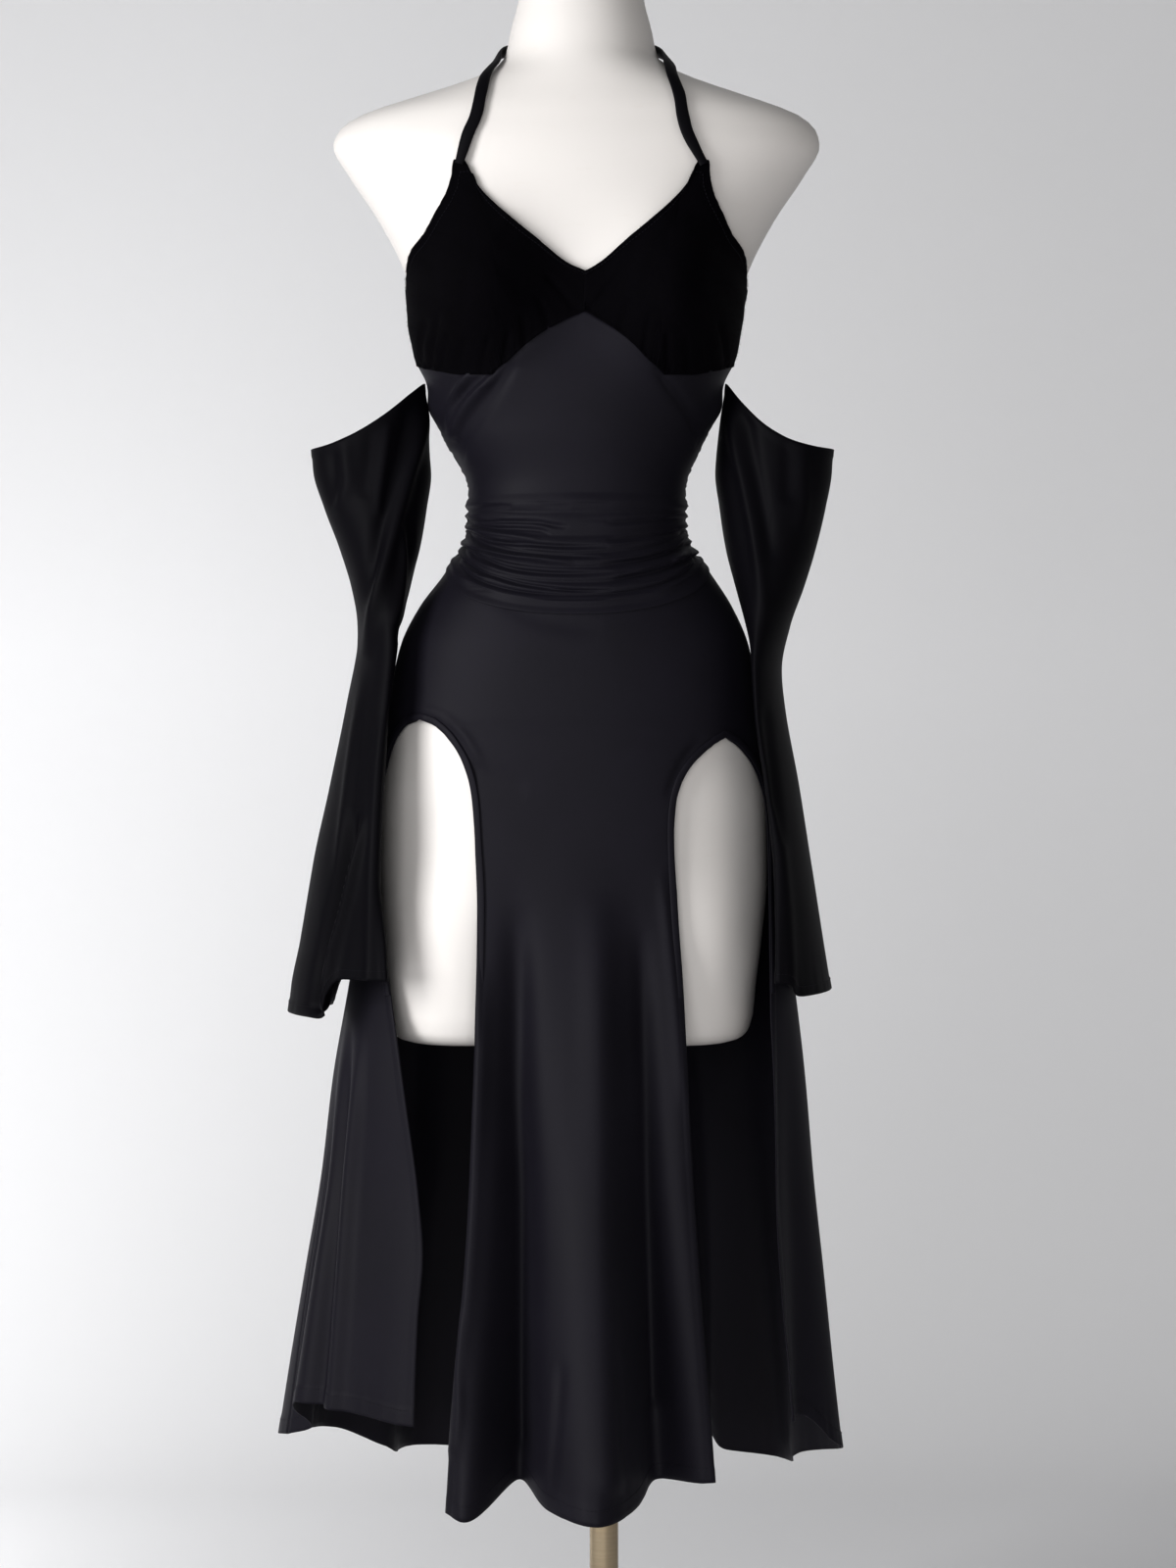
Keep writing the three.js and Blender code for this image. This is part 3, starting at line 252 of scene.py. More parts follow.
CUP_CREASES = [
    ([(-128, 1215), (-127, 1232), (-122, 1252)], 2.6, -2.0, 1, 0),
    ([(-119, 1212), (-117, 1230), (-110, 1255)], 2.2, -1.7, 1, 0),
    ([(-110, 1210), (-108, 1224), (-103, 1238)], 2.0, -1.5, 1, 0),
    ([(-96, 1208), (-94, 1221), (-90, 1232)], 2.6, -1.6, 1, 0),
    ([(-78, 1205), (-76, 1219), (-72, 1234)], 2.4, -1.6, 1, 0),
    ([(-62, 1208), (-60, 1221), (-58, 1238)], 2.6, -1.8, 1, 0),
    ([(-44, 1224), (-45, 1237), (-48, 1252)], 2.4, -1.6, 1, 0),
    ([(-26, 1240), (-29, 1252), (-36, 1266)], 2.6, -1.8, 1, 0),
    ([(-4, 1257), (-14, 1268), (-30, 1284)], 3.0, -2.0, 1, 0),
    ([(10, 1257), (20, 1268), (36, 1286)], 3.0, -2.0, 1, 0),
    ([(34, 1239), (38, 1252), (46, 1268)], 2.6, -1.7, 1, 0),
    ([(52, 1222), (54, 1236), (58, 1252)], 2.4, -1.6, 1, 0),
    ([(70, 1209), (70, 1223), (70, 1238)], 2.6, -1.8, 1, 0),
    ([(86, 1206), (85, 1219), (82, 1232)], 2.4, -1.5, 1, 0),
    ([(104, 1209), (102, 1222), (98, 1236)], 2.6, -1.6, 1, 0),
    ([(117, 1213), (115, 1231), (109, 1250)], 2.4, -1.9, 1, 0),
    ([(-38, 1372), (-48, 1348), (-66, 1318), (-80, 1296)], 5.5, 1.2, 0.5, 0),
    ([(-36, 1366), (-30, 1340), (-26, 1312)], 4.5, -1.2, 0.5, 0),
    ([(44, 1372), (56, 1346), (72, 1318)], 5.5, 1.2, 0.5, 0),
    ([(42, 1366), (36, 1338), (32, 1314)], 4.5, -1.2, 0.5, 0),
]
BACK_CREASES = [
    ([(-112, 1172), (-86, 1158), (-52, 1150), (-20, 1150)], 7, -1.8, 0.8, 0),
    ([(-104, 1150), (-80, 1134), (-50, 1127)], 5, -1.8, 0.8, 0),
    ([(106, 1160), (80, 1146), (46, 1140), (12, 1141)], 7, -2.0, 0.8, 0),
    ([(98, 1138), (76, 1126), (52, 1121)], 5, -1.7, 0.8, 0),
    ([(-116, 1216), (-100, 1204), (-84, 1198)], 6, -1.5, 0.6, 0),
    ([(-88, 1116), (-60, 1108), (-22, 1107)], 3.6, -1.6, 1, 0),
    ([(86, 1112), (56, 1105), (20, 1104)], 3.6, -1.5, 1, 0),
]
SKIRT_FRONT_CREASES = [
    ([(-92, 1049), (-60, 1018), (-24, 1002), (20, 999)], 8, -1.0, 0.6, 0),
    ([(-138, 935), (-112, 930), (-92, 912), (-78, 886)], 4.5, 1.8, 0.2, 0.2),
    ([(-92, 886), (-72, 878), (-40, 868)], 8, -0.9, 0.3, 0),
    ([(96, 908), (80, 886), (70, 860)], 4, -1.4, 0.4, 0.2),
    ([(-85, 830), (-83, 740), (-82, 660)], 4, 2.0, 0, 0),
    ([(-50, 780), (-52, 640), (-50, 477), (-48, 350)], 12, -7.5, 0, 1),
    ([(14, 790), (18, 640), (21, 477), (24, 330)], 15, 7.5, 0, 1),
    ([(50, 760), (55, 640), (61, 520), (68, 380)], 8, -6.0, 0, 1),
    ([(66, 800), (76, 700), (83, 610)], 5, 2.6, 0.2, 0),
    ([(-77, 730), (-79, 640), (-84, 500), (-94, 390), (-98, 345)], 6, 4.5, 0, 1),
    ([(-179, 665), (-190, 517), (-200, 381), (-204, 340)], 5, 5.5, 0.2, 1),
    ([(-189, 665), (-200, 517), (-212, 381), (-216, 345)], 4, -8.0, 0.2, 1),
    ([(157, 680), (156, 560), (156, 477), (165, 397), (170, 345)], 3, 4.0, 0, 1),
    ([(-98, 470), (-92, 440), (-95, 410), (-91, 380), (-94, 350)], 4, 2.2, 0.2, 0.6),
    ([(-14, 420), (-17, 370), (-22, 320)], 4, -2.0, 0, 1),
    ([(26, 430), (30, 370), (33, 320)], 4, -2.0, 0, 1),
]
SKIRT_BACK_CREASES = [
    ([(-60, 1046), (-86, 1000), (-104, 950)], 9, -1.6, 0.8, 0),
    ([(52, 1046), (80, 1004), (100, 946)], 9, -1.6, 0.8, 0),
    ([(-12, 1046), (-18, 1000), (-20, 940)], 8, 1.2, 0.8, 0),
    ([(-98, 860), (-50, 842), (-8, 838), (40, 846), (88, 866)], 14, -3.4, 0, 0),
    ([(-84, 832), (-44, 818), (-8, 815)], 9, -2.0, 0, 0),
    ([(-70, 800), (-84, 640), (-98, 470), (-108, 330)], 10, 2.6, 0, 1),
    ([(-14, 800), (-18, 640), (-24, 470), (-28, 330)], 8, -2.4, 0, 1),
    ([(44, 800), (54, 640), (64, 470), (70, 330)], 9, 2.4, 0, 1),
    ([(88, 760), (104, 600), (118, 450), (126, 330)], 8, -2.2, 0, 1),
    ([(-130, 760), (-146, 600), (-160, 450), (-168, 330)], 8, -2.2, 0, 1),
    ([(10, 600), (12, 470), (16, 330)], 6, 2.2, 0, 1),
]
# The sleeves' creases also say which side they lie on: ahead is the side towards the viewer
LEFT_SLEEVE_CREASES = [
    ([(-128, 1192), (-132, 1160), (-145, 1112), (-157, 1062), (-167, 1018), (-176, 980)], 5.5, 6.5, 0.2, 0.3),
    ([(-140, 1186), (-145, 1150), (-157, 1104), (-168, 1056), (-176, 1016)], 6.5, -4.5, 0.3, 0),
    ([(-146, 1084), (-144, 1048), (-147, 1024), (-151, 1000)], 3.4, 3.6, 0, 0),
    ([(-140, 1090), (-138, 1050), (-142, 1014), (-147, 985)], 3.4, -3.0, 0, 0),
    ([(-193, 1150), (-191, 1130), (-190, 1117), (-196, 1106), (-201, 1092)], 6, 2.4, 0.7, 0),
    ([(-204, 1146), (-202, 1120), (-204, 1098)], 5, -2.0, 0.7, 0),
    ([(-157, 1164), (-160, 1140), (-163, 1112), (-165, 1088)], 4, 2.2, 0.7, 0),
    ([(-171, 1160), (-174, 1132), (-178, 1104)], 6, -1.8, 0.7, 0),
    ([(-178, 960), (-186, 900), (-194, 830), (-200, 760), (-204, 700)], 4.5, 3.0, 0.2, 1),
    ([(-160, 930), (-164, 860), (-168, 790), (-170, 710)], 5, 3.0, 0, 1),
    ([(-181, 856), (-195, 792), (-204, 752), (-212, 716), (-216, 690)], 5, -12, 0, 1),
    ([(-173, 852), (-186, 794), (-195, 758), (-203, 722), (-207, 690)], 4, 6.5, 0, 1),
]
RIGHT_SLEEVE_CREASES = [
    ([(124, 1186), (128, 1150), (138, 1106), (146, 1060), (149, 1010)], 5.5, 4.6, 0.2, 0.2),
    ([(135, 1180), (140, 1144), (150, 1098), (157, 1050)], 6.5, -3.6, 0.3, 0),
    ([(184, 1148), (182, 1124), (184, 1100), (178, 1076)], 6, 2.2, 0.7, 0),
    ([(170, 1156), (170, 1128), (170, 1100)], 6, -2.0, 0.7, 0),
    ([(157, 860), (163, 810), (168, 760), (170, 712)], 6, 2.8, 0, 1),
    ([(150, 940), (157, 880), (164, 820)], 4, -2.0, 0, 0),
]


def smooth(t):
    t = np.clip(t, 0, 1)
    return t * t * (3 - 2 * t)


def rounded_way(way, times=2):
    """The way of a crease with its corners cut."""
    points = np.array(way, float)
    for _ in range(times):
        near = 0.75 * points[:-1] + 0.25 * points[1:]
        far = 0.25 * points[:-1] + 0.75 * points[1:]
        middle = np.stack([near, far], axis=1).reshape(-1, 2)
        points = np.concatenate([points[:1], middle, points[-1:]])
    return points


def crease_height(creases, x, z):
    """How far the creases push the cloth out at places given by their way across and up."""
    height = np.zeros(np.broadcast(x, z).shape)
    for way, wide, out, start, end in creases:
        points = rounded_way(way)
        nearest = np.full(height.shape, np.inf)
        along = np.zeros(height.shape)
        for i in range(len(points) - 1):
            run = points[i + 1] - points[i]
            t = np.clip(((x - points[i, 0]) * run[0] + (z - points[i, 1]) * run[1]) / (run @ run), 0, 1)
            away = np.hypot(x - points[i, 0] - t * run[0], z - points[i, 1] - t * run[1])
            closer = away < nearest
            nearest = np.where(closer, away, nearest)
            along = np.where(closer, (i + t) / (len(points) - 1), along)
        fade = start + (1 - start) * smooth(along / CREASE_FADE)
        fade = fade * (end + (1 - end) * smooth((1 - along) / CREASE_FADE))
        height += out * fade * bell(nearest, 0, wide)
    return height


def outline(sections, angle, z):
    """Points of level sections. The angle is 0 at the front and grows to the viewer's right."""
    turn = np.radians(angle)
    sine, cosine = np.sin(turn), np.cos(turn)
    power = 2 / sections.value("square", z)
    across = sections.value("half", z) * np.sign(sine) * np.abs(sine) ** power
    depth = np.where(cosine > 0, -sections.value("front", z), sections.value("back", z))
    x = sections.value("mid", z) + across
    y = depth * np.abs(cosine) ** power
    return np.stack(np.broadcast_arrays(x, y, np.asarray(z, float)), axis=-1)


def bust_depth(shape, x, z):
    upper = np.where(z > shape["z"], 1.25, 1)
    fall = bell(z, shape["z"], shape["tall"] * upper)
    left = bell(x, -shape["x"], shape["wide"])
    right = bell(x, shape["x"], shape["wide"])
    return shape["depth"] * fall * (left + right)


def form_surface(angle, z, shape=FORM_BUST):
    points = outline(FORM_SECTIONS, angle, z)
    facing = np.maximum(0, np.cos(np.radians(angle)))
    points[..., 1] -= bust_depth(shape, points[..., 0], points[..., 2]) * np.sqrt(facing)
    return points


def under_cloth(angle, z):
    """The form as the cloth over it sees it, with the hollow between the cups bridged a little."""
    return form_surface(angle, z, CLOTH_BUST)


def skirt_surface(angle, z):
    return outline(SKIRT_SECTIONS, angle, z)


def flute_depth(angle, z):
    depth = 0
    for begins, drift, out, wide, start in FLUTES:
        fall = np.clip((start - z) / (start - 300), 0, 1.1)
        turn = (angle - begins - drift * fall + 180) % 360 - 180
        depth = depth + out * fall**1.3 * bell(turn, 0, wide)
    return depth


def outward_of(surface, angle, z):
    across = surface(angle + 2, z) - surface(angle - 2, z)
    down = surface(angle, z - 3) - surface(angle, z + 3)
    outward = np.cross(down, across)
    return outward / np.linalg.norm(outward, axis=-1, keepdims=True)


def stand_off(surface, angle, z, out):
    """Points at an unchanged height, out beyond a surface, and further where it slopes."""
    outward = outward_of(surface, angle, z)
    level = np.maximum(0.7, np.hypot(outward[..., 0], outward[..., 1]))
    outward[..., 2] = 0
    outward /= np.linalg.norm(outward, axis=-1, keepdims=True)
    return surface(angle, z) + outward * np.asarray(out / level)[..., None]


def skirt_points(angle, z, out=0.0, creases=()):
    place = skirt_surface(angle, z)
    raised = flute_depth(angle, z) + out + crease_height(creases, place[..., 0], z)
    return stand_off(skirt_surface, angle, z, raised)


def bodice_points(angle, z, out=0.0, creases=()):
    """Points on the bodice. Creases sink towards the sides, where they would notch the outline."""
    place = under_cloth(angle, z)
    faced = smooth(np.abs(np.cos(np.radians(angle))) / 0.35)
    share = CREASE_AT_SIDE + (1 - CREASE_AT_SIDE) * faced
    raised = OUTER_OFFSET + out + crease_height(creases, place[..., 0], z) * share
    return stand_off(under_cloth, angle, z, np.maximum(raised, LEAST_OFFSET))


def skirt_angle(x, z):
    """The angle at which the skirt lies a given way to the left or right."""
    share = np.clip((x - SKIRT_SECTIONS.value("mid", z)) / SKIRT_SECTIONS.value("half", z), -1, 1)
    sine = np.abs(share) ** (SKIRT_SECTIONS.value("square", z) / 2)
    return np.sign(share) * np.degrees(np.arcsin(sine))


def slit_edge(slit, column, z):
    """The angle of a slit's edge. Above its arch both edges stay at the arch's own angle."""
    level = np.minimum(z, slit.key[-1])
    return skirt_angle(slit.value(column, level), level)


def midriff_height(row, angle):
    """The height of a midriff row, which droops in a U from the side seams to the centre front."""
    droop = np.abs(np.cos(np.radians(angle))) ** 1.4
    side = MIDRIFF_ROWS.value("side", row)
    return side + (MIDRIFF_ROWS.value("centre", row) - side) * droop


def cup_angle(side, angle):
    return side * angle + FRONT_CENTRE_ANGLE * (1 - angle / SIDE_ANGLE)


def cup_foot(angle):
    side = np.where(angle >= FRONT_CENTRE_ANGLE, 1, -1)
    from_centre = side * (angle - FRONT_CENTRE_ANGLE) / (1 - side * FRONT_CENTRE_ANGLE / SIDE_ANGLE)
    return CUP_EDGES.value("foot", np.clip(from_centre, 0.4, SIDE_ANGLE))


def waves(at, lengths, phase=0.0):
    """Uneven waves from a few lengths that share no measure."""
    parts = [np.sin(2 * math.pi * at / length + phase * (i + 1)) for i, length in enumerate(lengths)]
    return sum(parts) / len(lengths)


def turned_edge(distance, width=6.0):
    """1 on a turned hem and 0 beyond it, with a soft step where it is stitched down."""
    return smooth((width - distance) / 1.6)


def to_row(points):
    """Points in the form's millimetres as metres in the part's frame."""
    return (points + np.array([FORM_SHIFT, 0, 0])) * MM


class GridMesh:
    """Grids of points that are joined in one mesh, with a flat cloth UV in metres."""

    def __init__(self):
        self.points = []
        self.faces = []
        self.uv = []
        self.count = 0
        self.widths = []
        self.lengths = []

    def add(self, points, wrap=False, start=0.0):
        """Adds a grid of rows that run down and columns that run to the viewer's right round the front."""
        rows, columns = points.shape[:2]
        steps_across = np.linalg.norm(np.diff(points, axis=1), axis=2).mean(axis=0)
        steps_down = np.linalg.norm(np.diff(points, axis=0), axis=2)
        closed = np.concatenate([points, points[:, :1]], axis=1) if wrap else points
        self.widths.append(np.linalg.norm(np.diff(closed, axis=1), axis=2).sum(axis=1).max())
        self.lengths.append(steps_down.sum(axis=0).max())
        across = start + np.concatenate([[0], np.cumsum(steps_across)])
        down = np.concatenate([np.zeros((1, columns)), np.cumsum(steps_down, axis=0)])
        numbers = np.arange(rows * columns).reshape(rows, columns) + self.count
        nxt = np.roll(numbers, -1, axis=1) if wrap else numbers[:, 1:]
        here = numbers if wrap else numbers[:, :-1]
        quads = np.stack([here[:-1], here[1:], nxt[1:], nxt[:-1]], axis=-1).reshape(-1, 4)
        self.points.append(points.reshape(-1, 3))
        self.faces.append(quads)
        self.uv.append(np.stack([np.broadcast_to(across, down.shape), -down], axis=-1).reshape(-1, 2))
        self.count += rows * columns
        return across[-1]

    def flat_size(self):
        """The widest row, with strips side by side, and the longest column, in metres."""
        return float(sum(self.widths) * MM), float(max(self.lengths) * MM)

    def make(self, name, merge=0.0):
        points = to_row(np.concatenate(self.points))
        faces = np.concatenate(self.faces)
        uv = np.concatenate(self.uv) * MM
        mesh = bpy.data.meshes.new(name)
        mesh.from_pydata(points.tolist(), [], faces.tolist())
        layer = mesh.uv_layers.new(name="Cloth")
        layer.data.foreach_set("uv", uv[faces.ravel()].ravel())
        if merge:
            work = bmesh.new()
            work.from_mesh(mesh)
            bmesh.ops.remove_doubles(work, verts=work.verts, dist=merge)
            work.to_mesh(mesh)
            work.free()
        piece = bpy.data.objects.new(name, mesh)
        bpy.context.scene.collection.objects.link(piece)
        return piece


def settle(piece):
    """Turns a piece with live modifiers into a plain mesh."""
    bpy.context.view_layer.update()
    graph = bpy.context.evaluated_depsgraph_get()
    finished = bpy.data.meshes.new_from_object(
        piece.evaluated_get(graph), preserve_all_data_layers=True, depsgraph=graph)
    piece.modifiers.clear()
    old = piece.data
    piece.data = finished
    if old.users == 0:
        bpy.data.meshes.remove(old)
    if not len(finished.polygons):
        raise RuntimeError(f"{piece.name} came out empty")
    return piece


def thicken(piece, thickness):
    shell = piece.modifiers.new("Cloth thickness", "SOLIDIFY")
    shell.thickness = thickness
    shell.offset = -1
    shell.use_rim = True
    shell.use_quality_normals = True
    return settle(piece)


def finish_piece(piece, material, nodes=()):
    """Gives a piece its finish and its place in the part."""
    piece.data.materials.clear()
    piece.data.materials.append(material)
    piece.data.polygons.foreach_set("material_index", np.zeros(len(piece.data.polygons), np.int32))
    piece.data.polygons.foreach_set("use_smooth", np.ones(len(piece.data.polygons), bool))
    piece.data.update()
    if nodes:
        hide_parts(*nodes)
    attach(piece, "root")
    return piece


def declare_sheet(grid):
    """Works out a piece's widest row and longest column; the sizes are not kept."""
    grid.flat_size()


class Wire:
    """A socket of a node tree. An expression on it adds the Math nodes that work it out."""

    def __init__(self, nodes, socket):
        self.nodes = nodes
        self.socket = socket

    def maths(self, operation, first, second=None):
        inputs = {0: first} if second is None else {0: first, 1: second}
        return self.nodes.add("ShaderNodeMath", {"operation": operation}, inputs)

    def __add__(self, other):
        return self.maths("ADD", self, other)

    def __radd__(self, other):
        return self.maths("ADD", other, self)

    def __sub__(self, other):
        return self.maths("SUBTRACT", self, other)

    def __rsub__(self, other):
        return self.maths("SUBTRACT", other, self)

    def __mul__(self, other):
        return self.maths("MULTIPLY", self, other)

    def __rmul__(self, other):
        return self.maths("MULTIPLY", other, self)

    def __pow__(self, other):
        return self.maths("POWER", self, other)

    def sine(self):
        return self.maths("SINE", self)

    def other(self, name):
        """Another output of the same node."""
        return Wire(self.nodes, self.socket.node.outputs[name])


class Nodes:
    """Adds nodes to a material's tree or a Geometry Nodes tree."""

    def __init__(self, tree):
        self.tree = tree

    def add(self, kind, settings=None, inputs=None, output=0):
        node = self.tree.nodes.new(kind)
        for name, value in (settings or {}).items():
            if name == "stops":
                self.set_stops(node.color_ramp, value)
            else:
                setattr(node, name, value)
        for key, value in (inputs or {}).items():
            if isinstance(value, Wire):
                self.tree.links.new(value.socket, node.inputs[key])
            else:
                node.inputs[key].default_value = value
        return Wire(self, node.outputs[output]) if len(node.outputs) else node

    @staticmethod
    def set_stops(ramp, stops):
        while len(ramp.elements) < len(stops):
            ramp.elements.new(1.0)
        for element, (position, colour) in zip(ramp.elements, stops):
            element.position = position
            element.color = colour


def new_material(name):
    material = bpy.data.materials.new(name)
    material.use_nodes = True
    material.node_tree.nodes.clear()
    return material, Nodes(material.node_tree)


def colour_mix(nodes, factor, first, second):
    """A colour between two, by a factor from 0 to 1."""
    return nodes.add("ShaderNodeMix", {"data_type": "RGBA"}, {0: factor, 6: first, 7: second}, output=2)


def scaled(colour, share):
    return (*[channel * share for channel in colour[:3]], 1.0)


def place_wire(nodes, on_uv):
    """The cloth's own flat coordinates in metres, or the piece's own for one without them."""
    if on_uv:
        return nodes.add("ShaderNodeUVMap", {"uv_map": "Cloth"})
    return nodes.add("ShaderNodeTexCoord", output=3)


def noise(nodes, place, scale, detail=3.0, roughness=0.55):
    return nodes.add("ShaderNodeTexNoise", None,
                     {"Vector": place, "Scale": scale, "Detail": detail, "Roughness": roughness})


def stretched(nodes, place, scale):
    return nodes.add("ShaderNodeMapping", None, {"Vector": place, "Scale": scale})


def jersey_material(name, colour, sheen, shine, on_uv=True):
    """Fine black stretch jersey: knit loops, faint nap, soft uneven sheen."""
    material, nodes = new_material(name)
    place = place_wire(nodes, on_uv)
    split = nodes.add("ShaderNodeSeparateXYZ", None, {"Vector": place})
    wales = (split * (2 * math.pi / 0.0008)).sine()
    courses = (split.other("Y") * (2 * math.pi / 0.0006)).sine()
    fuzz = noise(nodes, place, 1400, 2.0)
    cloudy = noise(nodes, place, 9, 3.0)
    drawn = noise(nodes, stretched(nodes, place, (60, 6, 1)), 1, 3.0)
    pilled = noise(nodes, place, 260, 4.0, 0.7)
    knit = wales * 0.5 + courses * 0.3 + fuzz * 1.2
    height = knit * 0.35 + drawn * 1.6 + pilled * 0.8
    bump = nodes.add("ShaderNodeBump", None, {"Strength": 0.35, "Distance": 0.00016, "Height": height})
    worn = nodes.add("ShaderNodeMapRange", None,
                     {"Value": cloudy + pilled * 0.35, "From Min": 0.45, "From Max": 0.95})
    base = colour_mix(nodes, worn, scaled(colour, 0.72), scaled(colour, 1.3))
    grain = colour_mix(nodes, fuzz * 0.5, base, scaled(colour, 1.9))
    rough = 0.47 + cloudy * 0.1 + fuzz * 0.08
    shader = nodes.add("ShaderNodeBsdfPrincipled", None, {
        "Base Color": grain, "Roughness": rough, "Normal": bump, "Specular IOR Level": shine,
        "Sheen Weight": sheen, "Sheen Roughness": 0.45, "Sheen Tint": (0.72, 0.72, 0.86, 1),
    })
    nodes.add("ShaderNodeOutputMaterial", None, {"Surface": shader})
    return material


def velvet_material(name, colour):
    """Short black nap that swallows light, brushed unevenly."""
    material, nodes = new_material(name)
    place = place_wire(nodes, True)
    nap = noise(nodes, place, 900, 3.0, 0.7)
    brushed = noise(nodes, stretched(nodes, place, (30, 12, 1)), 1, 4.0)
    height = nap * 1.4 + brushed * 0.8
    bump = nodes.add("ShaderNodeBump", None, {"Strength": 0.5, "Distance": 0.0003, "Height": height})
    base = colour_mix(nodes, brushed, scaled(colour, 0.6), scaled(colour, 1.5))
    rough = 0.82 + nap * 0.14
    shader = nodes.add("ShaderNodeBsdfPrincipled", None, {
        "Base Color": base, "Roughness": rough, "Normal": bump, "Specular IOR Level": 0.04,
        "Sheen Weight": 0.01, "Sheen Roughness": 0.35, "Sheen Tint": (0.7, 0.7, 0.8, 1),
    })
    nodes.add("ShaderNodeOutputMaterial", None, {"Surface": shader})
    return material


def form_paint_material(name, colour):
    """Warm white satin paint over a moulded shell, with faint orange peel and handling marks."""
    material, nodes = new_material(name)
    place = place_wire(nodes, False)
    peel = noise(nodes, place, 420, 2.0)
    clouds = noise(nodes, place, 5, 4.0)
    scuffs = noise(nodes, stretched(nodes, place, (24, 24, 90)), 1, 5.0, 0.65)
    marks = nodes.add("ShaderNodeMapRange", None, {"Value": scuffs, "From Min": 0.62, "From Max": 0.8})
    base = colour_mix(nodes, clouds, scaled(colour, 0.97), scaled(colour, 1.02))
    marked = colour_mix(nodes, marks * 0.25, base, (colour[0] * 0.9, colour[1] * 0.87, colour[2] * 0.82, 1))
    bump = nodes.add("ShaderNodeBump", None,
                     {"Strength": 0.12, "Distance": 0.0002, "Height": peel + marks * 0.3})
    rough = 0.42 + clouds * 0.08 + marks * 0.12
    shader = nodes.add("ShaderNodeBsdfPrincipled", None, {
        "Base Color": marked, "Roughness": rough, "Normal": bump, "Specular IOR Level": 0.35,
    })
    nodes.add("ShaderNodeOutputMaterial", None, {"Surface": shader})
    return material


def brass_material(name, colour, along):
    """Pale brushed brass. Along stretches the brush lines, in lines a metre across each axis."""
    material, nodes = new_material(name)
    place = place_wire(nodes, False)
    brushed = noise(nodes, stretched(nodes, place, along), 1, 6.0, 0.7)
    tarnish = noise(nodes, place, 14, 5.0, 0.6)
    spots = nodes.add("ShaderNodeMapRange", None, {"Value": tarnish, "From Min": 0.5, "From Max": 0.78})
    base = colour_mix(nodes, brushed, scaled(colour, 0.8), scaled(colour, 1.12))
    aged = colour_mix(nodes, spots * 0.35, base, (colour[0] * 0.6, colour[1] * 0.52, colour[2] * 0.42, 1))
    bump = nodes.add("ShaderNodeBump", None, {"Strength": 0.15, "Distance": 0.00008, "Height": brushed})
    rough = 0.24 + brushed * 0.16 + spots * 0.16
    shader = nodes.add("ShaderNodeBsdfPrincipled", None, {
        "Base Color": aged, "Metallic": 1.0, "Roughness": rough, "Normal": bump,
    })
    nodes.add("ShaderNodeOutputMaterial", None, {"Surface": shader})
    return material


def studio_material(name, colour):
    """Plain matt paper with hardly any grain, which is clear from behind so that the back can be seen too."""
    material, nodes = new_material(name)
    place = place_wire(nodes, False)
    mottled = noise(nodes, place, 1.2, 2.0)
    base = colour_mix(nodes, mottled, scaled(colour, 0.985), scaled(colour, 1.0))
    shader = nodes.add("ShaderNodeBsdfPrincipled", None,
                       {"Base Color": base, "Roughness": 0.9 + mottled * 0.05, "Specular IOR Level": 0.1})
    behind = nodes.add("ShaderNodeNewGeometry").other("Backfacing")
    clear = nodes.add("ShaderNodeBsdfTransparent")
    mixed = nodes.add("ShaderNodeMixShader", None, {0: behind, 1: shader, 2: clear})
    nodes.add("ShaderNodeOutputMaterial", None, {"Surface": mixed})
    return material


def new_geometry_tree(name, inputs):
    """A Geometry Nodes tree with named inputs, given as name and default."""
    tree = bpy.data.node_groups.new(name, "GeometryNodeTree")
    tree.interface.new_socket("Geometry", in_out="INPUT", socket_type="NodeSocketGeometry")
    for label, default in inputs:
        kind = "NodeSocketInt" if isinstance(default, int) else "NodeSocketFloat"
        tree.interface.new_socket(label, in_out="INPUT", socket_type=kind).default_value = default
    tree.interface.new_socket("Material", in_out="INPUT", socket_type="NodeSocketMaterial")
    tree.interface.new_socket("Geometry", in_out="OUTPUT", socket_type="NodeSocketGeometry")
    nodes = Nodes(tree)
    return tree, nodes, nodes.add("NodeGroupInput")


def end_tree(nodes, geometry, material):
    whole = nodes.add("GeometryNodeRealizeInstances", None, {"Geometry": geometry})
    painted = nodes.add("GeometryNodeSetMaterial", None, {"Geometry": whole, "Material": material})
    nodes.add("NodeGroupOutput", None, {"Geometry": painted})


def run_tree(piece, tree, values):
    """Runs a tree on a piece with its inputs set by their identifiers, and keeps the plain mesh."""
    modifier = piece.modifiers.new(tree.name, "NODES")
    modifier.node_group = tree
    names = {item.name: item.identifier for item in tree.interface.items_tree if item.in_out == "INPUT"}
    for name, value in values.items():
        modifier[names[name]] = value
    return settle(piece)


def stitches_tree():
    """Small rounded stitches at even steps along lines of edges."""
    tree, nodes, given = new_geometry_tree(
        "Stitches", [("Spacing", 0.003), ("Length", 0.002), ("Width", 0.0005)])
    line = nodes.add("GeometryNodeMeshToCurve", None, {"Mesh": given})
    points = nodes.add("GeometryNodeCurveToPoints", {"mode": "LENGTH"},
                       {"Curve": line, "Length": given.other("Spacing")})
    thread = nodes.add("GeometryNodeMeshUVSphere", None, {"Segments": 6, "Rings": 4, "Radius": 0.5})
    size = nodes.add("ShaderNodeCombineXYZ", None,
                     {"X": given.other("Width"), "Y": given.other("Width"), "Z": given.other("Length")})
    sewn = nodes.add("GeometryNodeInstanceOnPoints", None,
                     {"Points": points, "Instance": thread, "Rotation": points.other("Rotation"),
                      "Scale": size})
    end_tree(nodes, sewn, given.other("Material"))
    return tree


